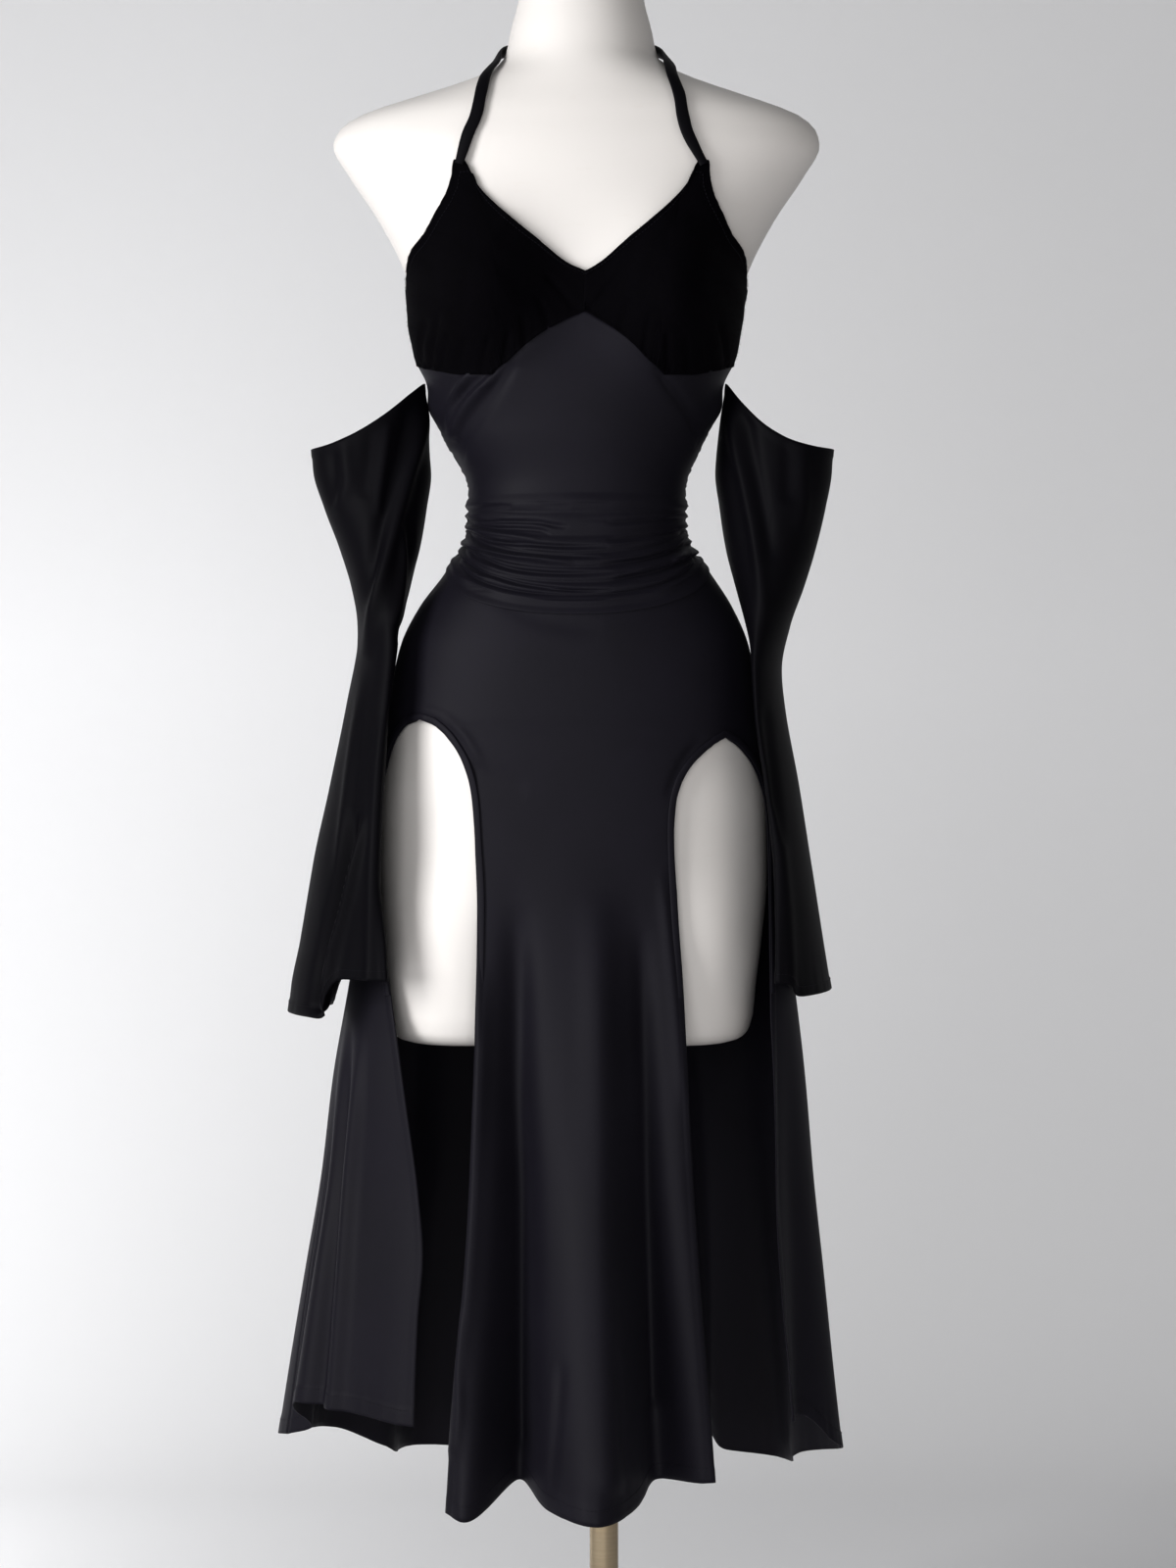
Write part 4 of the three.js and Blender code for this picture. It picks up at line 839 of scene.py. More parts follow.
def rolled_band_tree():
    """A flat rounded band swept along a line of edges that carries its outward direction and its pinch."""
    tree, nodes, given = new_geometry_tree(
        "Rolled band", [("Width", 0.009), ("Thickness", 0.003), ("Step", 0.003)])
    outward = nodes.add("GeometryNodeInputNamedAttribute", {"data_type": "FLOAT_VECTOR"}, {"Name": "outward"})
    pinch = nodes.add("GeometryNodeInputNamedAttribute", {"data_type": "FLOAT"}, {"Name": "pinch"})
    line = nodes.add("GeometryNodeMeshToCurve", None, {"Mesh": given})
    even = nodes.add("GeometryNodeResampleCurve", {"mode": "LENGTH"},
                     {"Curve": line, "Length": given.other("Step")})
    turned = nodes.add("GeometryNodeSetCurveNormal", {"mode": "FREE"}, {"Curve": even, "Normal": outward})
    sized = nodes.add("GeometryNodeSetCurveRadius", None, {"Curve": turned, "Radius": pinch})
    ring = nodes.add("GeometryNodeCurvePrimitiveCircle", {"mode": "RADIUS"},
                     {"Resolution": 14, "Radius": 0.5})
    size = nodes.add("ShaderNodeCombineXYZ", None,
                     {"X": given.other("Thickness"), "Y": given.other("Width"), "Z": 1.0})
    profile = nodes.add("GeometryNodeTransform", None, {"Geometry": ring, "Scale": size})
    swept = nodes.add("GeometryNodeCurveToMesh", None,
                      {"Curve": sized, "Profile Curve": profile, "Scale": pinch, "Fill Caps": True})
    end_tree(nodes, swept, given.other("Material"))
    return tree


def nap_tree():
    """Short fibres that stand out of a velvet face where its nap attribute is high."""
    tree, nodes, given = new_geometry_tree(
        "Velvet nap", [("Density", 100000.0), ("Length", 0.0013), ("Seed", 7)])
    thick = nodes.add("GeometryNodeInputNamedAttribute", {"data_type": "FLOAT"}, {"Name": "nap"})
    density = thick * given.other("Density")
    points = nodes.add("GeometryNodeDistributePointsOnFaces", {"distribute_method": "RANDOM"},
                       {"Mesh": given, "Density": density, "Seed": given.other("Seed")})
    fibre = nodes.add("GeometryNodeMeshCone", {"fill_type": "NONE"},
                      {"Vertices": 3, "Radius Top": 0.00003, "Radius Bottom": 0.00009,
                       "Depth": given.other("Length")})
    low = nodes.add("FunctionNodeRandomValue", {"data_type": "FLOAT_VECTOR"},
                    {"Min": (-0.7, -0.7, -0.7), "Max": (0.7, 0.7, 0.7), "Seed": given.other("Seed")})
    tilt = nodes.add("FunctionNodeEulerToRotation", None, {"Euler": low})
    turn = nodes.add("FunctionNodeRotateRotation", {"rotation_space": "LOCAL"},
                     {"Rotation": points.other("Rotation"), "Rotate By": tilt})
    hairs = nodes.add("GeometryNodeInstanceOnPoints", None,
                      {"Points": points, "Instance": fibre, "Rotation": turn})
    end_tree(nodes, hairs, given.other("Material"))
    return tree


def line_piece(name, lines):
    """A mesh of edges through rows of points in metres."""
    points = []
    edges = []
    for line in lines:
        edges += [(len(points) + i, len(points) + i + 1) for i in range(len(line) - 1)]
        points += [tuple(point) for point in line]
    mesh = bpy.data.meshes.new(name)
    mesh.from_pydata(points, edges, [])
    piece = bpy.data.objects.new(name, mesh)
    bpy.context.scene.collection.objects.link(piece)
    return piece


def set_attribute(piece, name, kind, values):
    attribute = piece.data.attributes.new(name, kind, "POINT")
    key = "vector" if kind == "FLOAT_VECTOR" else "value"
    attribute.data.foreach_set(key, np.asarray(values, np.float32).ravel())


# The dress form and its stand


def form_half(side, levels=150, outer_steps=72, inner_steps=36):
    """Rings of one half of the form. Its inner side is a thigh's and passes the centre above the crotch."""
    z = np.concatenate([np.linspace(1545, 690, levels), np.linspace(684, 657, 14)])[:, None]
    step = np.linspace(0, 1, outer_steps, endpoint=False)[None, :]
    outer = form_surface(side * 180 * step + 0 * z, z + 0 * step)
    whole_mid = FORM_SECTIONS.value("mid", z)
    whole_half = FORM_SECTIONS.value("half", z)
    ridge = THIGH_SECTIONS.value("ridge", z)
    reach = (outer[..., 0] - whole_mid) * side / whole_half
    outer[..., 0] = whole_mid + side * (ridge + (whole_half - ridge) * reach)
    turn = math.pi * (1 + np.linspace(0, 1, inner_steps, endpoint=False)[None, :])
    depth = np.where(np.cos(turn) > 0, FORM_SECTIONS.value("front", z), FORM_SECTIONS.value("back", z))
    inner_x = whole_mid + side * (ridge + THIGH_SECTIONS.value("inner", z) * np.sin(turn))
    inner = np.stack(np.broadcast_arrays(inner_x, -depth * np.cos(turn), z), axis=-1)
    rings = np.concatenate([outer, inner], axis=1)
    middle = (whole_mid + side * ridge)[..., 0][:, None]
    shrink = THIGH_SECTIONS.value("shrink", z)[:, 0][:, None]
    rings[..., 0] = middle + (rings[..., 0] - middle) * shrink
    rings[..., 1] = rings[..., 1] * shrink
    return rings if side > 0 else rings[:, ::-1]


def closed_rings(name, rings):
    """A closed skin through rings, with a shallow cap on each end."""
    grid = GridMesh()
    grid.add(rings, wrap=True)
    piece = grid.make(name)
    work = bmesh.new()
    work.from_mesh(piece.data)
    edges = [edge for edge in work.edges if edge.is_boundary]
    bmesh.ops.holes_fill(work, edges=edges)
    bmesh.ops.recalc_face_normals(work, faces=work.faces)
    work.to_mesh(piece.data)
    work.free()
    return piece


def build_form(material):
    left = closed_rings("form_left_half", form_half(-1))
    form = closed_rings("dress_form", form_half(1))
    join = form.modifiers.new("Join halves", "BOOLEAN")
    join.operation = "UNION"
    join.solver = "MANIFOLD"
    join.object = left
    settle(form)
    bpy.data.objects.remove(left)
    return finish_piece(form, material, ["form_body"])


def lathe(name, outline_points, segments=96):
    """A turned shape from its outline, given as radius and height from the axis round to the axis."""
    profile = np.array(outline_points, float)
    turn = np.linspace(0, 2 * math.pi, segments, endpoint=False)
    x = profile[:, 0][:, None] * np.cos(turn)
    y = profile[:, 0][:, None] * np.sin(turn)
    rings = np.stack([x - FORM_SHIFT, y, np.broadcast_to(profile[:, 1][:, None], x.shape)], axis=-1)
    grid = GridMesh()
    grid.add(rings[::-1], wrap=True)
    piece = grid.make(name, merge=1e-6)
    work = bmesh.new()
    work.from_mesh(piece.data)
    bmesh.ops.recalc_face_normals(work, faces=work.faces)
    work.to_mesh(piece.data)
    work.free()
    return piece


def rounded_corner(corner, before, after, radius, steps=5):
    """Points that round a corner of an outline between its two neighbours."""
    corner, before, after = (np.array(point, float) for point in (corner, before, after))
    start = corner + (before - corner) / np.linalg.norm(before - corner) * radius
    end = corner + (after - corner) / np.linalg.norm(after - corner) * radius
    t = np.linspace(0, 1, steps)[:, None]
    return list((1 - t) ** 2 * start + 2 * t * (1 - t) * corner + t**2 * end)


def rounded_outline(corners):
    """An outline of rounded corners. The first and last lie on the axis or close on each other."""
    points = [np.array(corners[0][0], float)]
    for i in range(1, len(corners) - 1):
        corner, radius = corners[i]
        points += rounded_corner(corner, corners[i - 1][0], corners[i + 1][0], radius)
    points.append(np.array(corners[-1][0], float))
    return points


def build_stand(base_material, pole_material):
    socket = POLE["radius"] + BASE["fit"]
    plate = [
        ((0, 0), 0), ((BASE["radius"], 0), 1.5), ((BASE["radius"], BASE["rim"]), 1.8),
        ((BASE["collar"] + 9, BASE["plate"]), 6), ((BASE["collar"], BASE["plate"] + 4), 3),
        ((BASE["collar"] - 3, BASE["collar_top"]), 2.5), ((socket, BASE["collar_top"]), 0.8),
        ((socket, BASE["floor"]), 0.3), ((0, BASE["floor"]), 0),
    ]
    base = lathe("round_base", rounded_outline(plate), 128)
    finish_piece(base, base_material, ["stand_base"])
    tube = [
        ((0, POLE["foot"]), 0), ((POLE["radius"], POLE["foot"]), 0.6),
        ((POLE["radius"], POLE["top"]), 0.6), ((0, POLE["top"]), 0),
    ]
    pole = lathe("brass_pole", rounded_outline(tube), 64)
    finish_piece(pole, pole_material, ["stand_pole"])


# The bodice


def cup_grid(side, rows=64, columns=96):
    """A cup's points, with how far each lies from its top edge and from its foot."""
    spread = np.linspace(0, len(CUP_EDGES.key) - 1, columns + 1)
    from_centre = np.interp(spread, np.arange(len(CUP_EDGES.key)), CUP_EDGES.key)
    if side < 0:
        from_centre = from_centre[::-1]
    dip = CUP_DIP["drop"] * bell(from_centre, CUP_DIP["angle"], CUP_DIP["wide"])
    top = CUP_EDGES.value("top", from_centre) - dip
    foot = CUP_EDGES.value("foot", from_centre) - SEAM_LAP
    s = np.linspace(0, 1, rows + 1)[:, None]
    z = top + (foot - top) * s
    near_point = bell(from_centre, CUP_POINT["angle"], 7) * np.exp(-(top - z) / 22)
    moved = CUP_POINT["out"] * near_point - 0.5 * np.exp(-from_centre / 2)
    angle = cup_angle(side, from_centre) + side * moved
    along = np.cumsum(np.hypot(np.gradient(from_centre) * 1.9, np.gradient(top)))[None, :]
    above_foot = z - foot
    below_top = top - z
    shirring = 0.9 * waves(along, (7.3, 11.1, 4.6), side) * np.exp(-above_foot / 9)
    neck_ripple = 0.35 * waves(along, (9.7, 14.2), side) * np.exp(-below_top / 8)
    out = shirring + neck_ripple + 0.6 * turned_edge(below_top, 5.0)
    inside = smooth(above_foot / 20) * smooth(below_top / 20)
    out = out + 0.5 * waves(z + 0.4 * along, (31, 47), side) * inside
    out = out + 0.9 * bell(above_foot, 0, 2.2)
    out = out - 1.6 * np.exp(-below_top / 9) * smooth(from_centre / 60)
    return bodice_points(angle, z, out, CUP_CREASES), below_top


def build_cups(material, settings):
    made = []
    tree = nap_tree()
    for name, side in (("cup_left", -1), ("cup_right", 1)):
        points, below_top = cup_grid(side)
        grid = GridMesh()
        grid.add(points)
        piece = grid.make(f"{name}_velvet")
        set_attribute(piece, "nap", "FLOAT", 0.06 + np.exp(-below_top / 3.5))
        fibres = bpy.data.objects.new(f"{name}_nap", piece.data.copy())
        bpy.context.scene.collection.objects.link(fibres)
        thicken(piece, settings.cloth_thickness)
        finish_piece(piece, material, [name])
        run_tree(fibres, tree, {"Density": settings.nap_density, "Length": settings.nap_length,
                                "Seed": settings.seed + side, "Material": material})
        finish_piece(fibres, material)
        declare_sheet(grid)
        made.append(piece)
    return made


def lap_over_skirt(points, angle, z, rows_left):
    """Lays the last rows of the bodice over the skirt's top edge, as its lowest roll lies there."""
    share = smooth((2.2 - rows_left) / 2)[..., None]
    low = z - SEAM_LAP * 1.6 * share[..., 0]
    return points * (1 - share) + skirt_points(angle, low, 2.6 - 1.1 * share[..., 0]) * share


def side_fullness(angle, z):
    """The slack cloth below the armholes, which reaches out to the sleeves."""
    at_height = bell(z, SIDE_SLACK["z"], SIDE_SLACK["tall"])
    return SIDE_SLACK["out"] * at_height * np.abs(np.sin(np.radians(angle))) ** 8


def midriff_rolls(row, angle):
    """The rounded rolls of the gathered waist, uneven in height round the body."""
    whole = np.floor(np.clip(row, 1, LAST_MIDRIFF_ROW - 1e-6)).astype(int)
    t = np.clip(row - whole, 0, 1)
    outs = MIDRIFF_ROWS.columns["out"]
    start, end = outs[whole - 1], outs[whole]
    rising = np.sin(t * math.pi / 2) ** 0.85
    falling = 1 - np.sin((1 - t) * math.pi / 2) ** 0.85
    share = np.where(end > start, rising, falling)
    uneven = 0.82 + 0.3 * waves(angle + 37.0 * np.round(row / 2), (83, 47, 29), 1.3)
    bulge = 1 + 0.2 * np.abs(np.sin(np.radians(angle))) ** 8
    return (start + (end - start) * share) * uneven * bulge


def waist_gathers(z, out, near_side):
    """Small gathers beside the side seams, which begin under the bust."""
    return out * waves(z, (6.1, 9.4, 4.2)) * near_side * smooth((1190 - z) / 60)


def back_top(angle):
    """The height of the back's top edge, which is lowest in the middle."""
    middle = np.abs(np.cos(np.radians(angle)))
    return BACK_TOP["side"] + (BACK_TOP["centre"] - BACK_TOP["side"]) * middle**0.8


def cloth_piece(node, grid, material, settings, merge=0.0):
    """A sheet of jersey with its thickness and its finish."""
    piece = thicken(grid.make(f"{node}_cloth", merge), settings.cloth_thickness)
    finish_piece(piece, material, [node])
    declare_sheet(grid)
    return piece


def build_midriff(material, settings):
    columns = 230
    upper_rows = np.linspace(0, 4, 56, endpoint=False)
    row = np.concatenate([upper_rows, np.linspace(4, LAST_MIDRIFF_ROW, 116)])[:, None]
    angle = np.linspace(-FRONT_EDGE, FRONT_EDGE, columns + 1)[None, :] + 0 * row
    top = cup_foot(angle) - CUP_SEAM
    z = np.where(row < 1, top + (midriff_height(1.0, angle) - top) * row, midriff_height(row, angle))
    gathers = waist_gathers(z, 0.9, np.exp(-(90 - np.abs(angle)) / 5))
    out = midriff_rolls(row, angle) + gathers + side_fullness(angle, z)
    fine = waves(z - 0.12 * np.abs(angle), (2.9, 4.3), 0.8) * smooth((1104 - z) / 12)
    out = out + 0.16 * fine * (0.5 + 0.5 * waves(angle, (61, 23))) - 0.9 * smooth(1 - row / 0.25)
    grid = GridMesh()
    grid.add(lap_over_skirt(bodice_points(angle, z, out, MIDRIFF_CREASES), angle, z, LAST_MIDRIFF_ROW - row))
    return cloth_piece("midriff_front", grid, material, settings)


def build_bodice_back(material, settings):
    columns, rows = 150, 110
    angle = np.linspace(BACK_EDGE, 360 - BACK_EDGE, columns + 1)[None, :]
    s = np.linspace(0, 1, rows + 1)[:, None]
    middle = np.abs(np.cos(np.radians(angle)))
    top = back_top(angle)
    z = top + (BACK_WAIST - top) * s
    side_heights = MIDRIFF_ROWS.columns["side"][::-1]
    row = np.interp(z, side_heights, MIDRIFF_ROWS.key[::-1])
    rolls = midriff_rolls(row, angle + 0 * z) * (0.3 + 0.7 * (1 - middle)) * 0.8
    hem = 0.6 * turned_edge(top - z, 7.0)
    gathers = waist_gathers(z, 0.8, np.exp(-np.abs(np.abs(angle - 180) - 90) / 5))
    grid = GridMesh()
    points = bodice_points(angle + 0 * z, z, rolls + hem + gathers + side_fullness(angle, z), BACK_CREASES)
    grid.add(lap_over_skirt(points, angle, z, (z - BACK_WAIST) / 2))
    return cloth_piece("bodice_back", grid, material, settings)


# The skirt


def hem_out(angle, z, hem):
    """The turned hem with its small puckers."""
    above = z - hem
    puckers = 0.5 * waves(angle, (2.3, 3.7, 5.9), 0.7) * np.exp(-np.maximum(above, 0) / 16)
    return 0.55 * turned_edge(above, 14.0) + puckers


def skirt_front_rows(top, hem, upper=40, straight=112, lower=34):
    """Heights of the rows: down from the waist edge, level over the arches, and down to the hem."""
    first, last = SKIRT_STRAIGHT["first"], SKIRT_STRAIGHT["last"]
    s = np.linspace(0, 1, upper, endpoint=False)[:, None]
    u = np.linspace(0, 1, straight, endpoint=False)[:, None]
    v = np.linspace(0, 1, lower)[:, None]
    level = first + (last - first) * (0.45 * u + 0.55 * u**1.7)
    return np.concatenate([top + (first - top) * s, level + 0 * top, last + (hem - last) * v])


def build_skirt_front(material, settings):
    """The front skirt: a yoke over three strips, which the two slits part below their arches."""
    strips = [
        (60, lambda z: -FRONT_EDGE + 0 * z, lambda z: slit_edge(LEFT_SLIT, "outer", z)),
        (128, lambda z: slit_edge(LEFT_SLIT, "inner", z), lambda z: slit_edge(RIGHT_SLIT, "inner", z)),
        (60, lambda z: slit_edge(RIGHT_SLIT, "outer", z), lambda z: FRONT_EDGE + 0 * z),
    ]
    grid = GridMesh()
    start = 0.0
    for (columns, left, right), (least, most) in zip(strips, STRIP_HEMS):
        share = np.linspace(0, 1, columns + 1)[None, :]
        at_top = left(np.array(990.0)) * (1 - share) + right(np.array(990.0)) * share
        at_hem = left(np.array(340.0)) * (1 - share) + right(np.array(340.0)) * share
        top = midriff_height(float(LAST_MIDRIFF_ROW), at_top) - SEAM_GAP
        hem = HEM_HEIGHTS.value("z", np.clip(at_hem, least, most))
        z = skirt_front_rows(top, hem)
        angle = left(z) * (1 - share) + right(z) * share
        out = hem_out(angle, z, hem)
        x = skirt_surface(angle, z)[..., 0]
        for slit, side, apex in ((LEFT_SLIT, "inner", -1), (LEFT_SLIT, "outer", 1),
                                 (RIGHT_SLIT, "inner", 1), (RIGHT_SLIT, "outer", -1)):
            edge_x = slit.value(side, np.minimum(z, slit.key[-1]))
            near = np.where((x - edge_x) * apex <= 0.01, np.abs(x - edge_x), 99)
            below = smooth((slit.key[-1] - 60 - z) / 60)
            out = out + 0.6 * turned_edge(near, 5.0) * below
        start = grid.add(skirt_points(angle, z, out, SKIRT_FRONT_CREASES), start=start)
    return cloth_piece("skirt_front", grid, material, settings, merge=2e-5)


def build_skirt_back(material, settings):
    columns, rows = 230, 170
    angle = np.linspace(BACK_EDGE, 360 - BACK_EDGE, columns + 1)[None, :]
    s = np.linspace(0, 1, rows + 1)[:, None]
    hem = HEM_HEIGHTS.value("z", angle)
    top = BACK_WAIST - SEAM_GAP
    z = top + (hem - top) * s
    grid = GridMesh()
    grid.add(skirt_points(angle + 0 * z, z, hem_out(angle, z, hem), SKIRT_BACK_CREASES))
    return cloth_piece("skirt_back", grid, material, settings)


def edging_route(slit):
    """Angles and heights along an arch, from its outer lower end up and over to its inner one."""
    apex = slit.key[-1]
    drop = np.concatenate([[0], np.geomspace(0.6, apex - EDGING["lowest"], 110)])
    z = apex - drop
    outer = slit_edge(slit, "outer", z)
    inner = slit_edge(slit, "inner", z)
    return np.concatenate([outer[::-1], inner[1:]]), np.concatenate([z[::-1], z[1:]])


def build_edgings(tree, material):
    """The soft rolled bands round the two arches."""
    for name, slit in (("slit_edging_left", LEFT_SLIT), ("slit_edging_right", RIGHT_SLIT)):
        angle, z = edging_route(slit)
        edge_points = skirt_points(angle, z)
        along = np.gradient(edge_points, axis=0)
        along /= np.linalg.norm(along, axis=1, keepdims=True)
        outward = outward_of(skirt_surface, angle, z)
        aside = np.cross(along, outward)
        away = np.sign((aside * (edge_points - edge_points.mean(axis=0))).sum(axis=1).mean())
        raised = EDGING["low"] + EDGING["thickness"] * 0.5
        middle = edge_points + aside * away * EDGING["width"] / 2 + outward * raised
        middle += outward * (0.25 * waves(np.arange(len(z)) * 1.0, (17, 29, 11)))[:, None]
        piece = line_piece(f"{name}_roll", [to_row(middle)])
        set_attribute(piece, "outward", "FLOAT_VECTOR", outward)
        set_attribute(piece, "pinch", "FLOAT", 0.95 + 0.05 * waves(np.arange(len(z)) * 1.0, (23, 13)))
        run_tree(piece, tree, {"Width": EDGING["width"] * MM, "Thickness": (EDGING["thickness"] + 0.3) * MM,
                               "Step": 0.002, "Material": material})
        finish_piece(piece, material, [name])


# The sleeves and the strap


def sleeve_place(sections, side, ahead, outward, z):
    """How far across and back a sleeve lies at a height."""
    s = (1 + ahead) / 2
    spine_x = sections.value("backX", z) * (1 - s) * (1 - 2 * s)
    spine_x = spine_x + sections.value("midX", z) * 4 * s * (1 - s)
    spine_x = spine_x + sections.value("frontX", z) * s * (2 * s - 1)
    y = sections.value("backY", z) * (1 - s) + sections.value("frontY", z) * s
    return spine_x + side * sections.value("half", z) * outward, y


def sleeve_points(sections, side, turn, share):
    """Points of a sleeve: turn goes round it from the front and share runs from its top edge to its hem."""
    ahead = np.cos(turn)
    outward = np.sin(turn) * side
    hand = "left" if side < 0 else "right"
    drop = SLEEVE_TOP["drop"] * (1 - (1 - (1 + outward) / 2) ** SLEEVE_TOP[f"{hand}_bend"])
    top = SLEEVE_TOP["inner"] - drop
    low_x, _ = sleeve_place(sections, side, ahead, outward, SLEEVE_HEM["level"] + 0 * ahead)
    beyond = side * (low_x - SLEEVE_HEM[f"{hand}_edge"])
    hem = SLEEVE_HEM[hand] - SLEEVE_HEM[f"{hand}_step"] * np.tanh(beyond / 4)
    z = top + (hem - top) * share
    x, y = sleeve_place(sections, side, ahead, outward, z)
    return np.stack(np.broadcast_arrays(x, y, z), axis=-1), z - hem, top - z


def grid_normals(points):
    """Outward directions of a grid that closes on itself round its columns."""
    across = np.roll(points, -1, axis=1) - np.roll(points, 1, axis=1)
    down = np.gradient(points, axis=0)
    normals = np.cross(down, across)
    return normals / np.maximum(np.linalg.norm(normals, axis=-1, keepdims=True), 1e-9)


def sleeve_front(turn):
    """1 on a sleeve's front and 0 behind, where the photo's creases end."""
    return smooth((np.cos(turn) + 0.25) / 0.5)


def build_sleeve(name, sections, side, creases, material, settings):
    rows, columns = 170, 150
    turn = np.linspace(0, 2 * math.pi, columns, endpoint=False)[None, :]
    share = np.linspace(0, 1, rows + 1)[:, None]
    points, above_hem, below_top = sleeve_points(sections, side, turn, share)
    normals = grid_normals(points)
    x, z = points[..., 0], points[..., 2]
    behind = smooth((0.05 - np.cos(turn)) / 0.5)
    room = smooth(below_top / 14)
    out = crease_height(creases, x, z) * sleeve_front(turn)
    mirrored = [(way, wide * 1.2, out_by * 0.6, first, last) for way, wide, out_by, first, last in creases]
    out = out + crease_height(mirrored, x + 6, z - 12) * behind
    out = out * (0.45 + 0.55 * room)
    out = out + 0.5 * turned_edge(above_hem, 10.0) + 0.5 * turned_edge(below_top, 7.0)
    out = out + 0.4 * waves(turn * 57.3, (13, 21, 8)) * np.exp(-np.maximum(above_hem, 0) / 18)
    grid = GridMesh()
    grid.add(points + normals * out[..., None], wrap=True)
    return cloth_piece(name, grid, material, settings)


def build_strap(tree, material):
    """The rolled halter strap, from one cup's point round the back of the neck to the other's."""
    angle = np.array([row[0] for row in STRAP_ROUTE], float)
    height = np.array([row[1] for row in STRAP_ROUTE], float)
    normals = outward_of(form_surface, angle, height)
    knots = form_surface(angle, height) + normals * (STRAP["stand"] + STRAP["half_thickness"])
    for end, side in ((0, -1), (-1, 1)):
        point_angle = cup_angle(side, CUP_POINT["angle"]) + side * CUP_POINT["out"]
        knots[end] = bodice_points(point_angle, CUP_POINT["height"], STRAP["half_thickness"] + 0.4)
    line = smooth_way(np.concatenate([knots, normals * 3], axis=1), 360)
    way, outward = line[:, :3], line[:, 3:]
    outward = outward / np.linalg.norm(outward, axis=1, keepdims=True)
    t = np.linspace(0, 1, len(way))
    nearest_end = np.minimum(t, 1 - t)
    pinch = (1 - 0.3 * bell(nearest_end, 0, 0.03)) * (1 + 0.05 * waves(t * 100, (7, 11, 4.3)))
    piece = line_piece("halter_strap_roll", [to_row(way)])
    set_attribute(piece, "outward", "FLOAT_VECTOR", outward)
    set_attribute(piece, "pinch", "FLOAT", pinch)
    run_tree(piece, tree, {
        "Width": 2.25 * STRAP["half_width"] * MM, "Thickness": 2 * STRAP["half_thickness"] * MM,
        "Step": 0.0025, "Material": material,
    })
    return finish_piece(piece, material, ["halter_strap"])


def smooth_way(knots, count):
    """A smooth line through knots, in even steps of its length."""
    before = np.concatenate([2 * knots[:1] - knots[1:2], knots[:-1]])
    after = np.concatenate([knots[1:], 2 * knots[-1:] - knots[-2:-1]])
    slopes = (after - before) / 2
    fine = []
    for i in range(len(knots) - 1):
        t = np.linspace(0, 1, 40, endpoint=False)[:, None]
        fine.append(hermite(t, knots[i], knots[i + 1], slopes[i], slopes[i + 1]))
    line = np.concatenate([*fine, knots[-1:]])
    length = np.concatenate([[0], np.cumsum(np.linalg.norm(np.diff(line, axis=0), axis=1))])
    at = np.linspace(0, length[-1], count)
    return np.stack([np.interp(at, length, column) for column in line.T], axis=1)


# Sewing


def hem_lines():
    """Lines of stitching above the skirt's hem, on the front's three strips and on the back."""
    lines = []
    low_z = 330.0
    spans = [
        (-FRONT_EDGE, float(slit_edge(LEFT_SLIT, "outer", low_z)) - 2),
        (float(slit_edge(LEFT_SLIT, "inner", low_z)) + 2, float(slit_edge(RIGHT_SLIT, "inner", low_z)) - 2),
        (float(slit_edge(RIGHT_SLIT, "outer", low_z)) + 2, FRONT_EDGE),
    ]
    for (first, last), (least, most) in zip(spans, STRIP_HEMS):
        angle = np.linspace(first, last, 160)
        z = HEM_HEIGHTS.value("z", np.clip(angle, least, most)) + 12
        lines.append(to_row(skirt_points(angle, z, 0.75, SKIRT_FRONT_CREASES)))
    angle = np.linspace(FRONT_EDGE + 1, 360 - FRONT_EDGE - 1, 400)
    lines.append(to_row(skirt_points(angle, HEM_HEIGHTS.value("z", angle) + 12, 0.75, SKIRT_BACK_CREASES)))
    return lines


def seam_lines():
    """Stitching along the neckline, the back's top edge and the sleeves' edges."""
    lines = []
    for side in (-1, 1):
        points, _ = cup_grid(side)
        lines.append(to_row(points[4] + np.array([0, -0.25, 0])))
    angle = np.linspace(SIDE_ANGLE + 1, 359 - SIDE_ANGLE, 200)
    lines.append(to_row(bodice_points(angle, back_top(angle) - 5, 0.8)))
    sleeves = ((LEFT_SLEEVE, -1, LEFT_SLEEVE_CREASES), (RIGHT_SLEEVE, 1, RIGHT_SLEEVE_CREASES))
    for sections, side, creases in sleeves:
        turn = np.linspace(0, 2 * math.pi, 260)[None, :]
        share = np.linspace(0, 1, 171)[:, None]
        points, above_hem, _ = sleeve_points(sections, side, turn, share)
        normals = grid_normals(points)
        raised = crease_height(creases, points[..., 0], points[..., 2]) * sleeve_front(turn) + 0.7
        lifted = points + normals * raised[..., None]
        low_row = int(np.argmin(np.abs(above_hem.mean(axis=1) - 9)))
        lines.append(to_row(lifted[low_row]))
    return lines


def build_stitches(material, settings):
    piece = line_piece("hem_stitches", hem_lines() + seam_lines())
    run_tree(piece, stitches_tree(), {"Spacing": settings.stitch_spacing, "Length": settings.stitch_length,
                                      "Width": settings.stitch_width, "Material": material})
    return finish_piece(piece, material)


# The studio


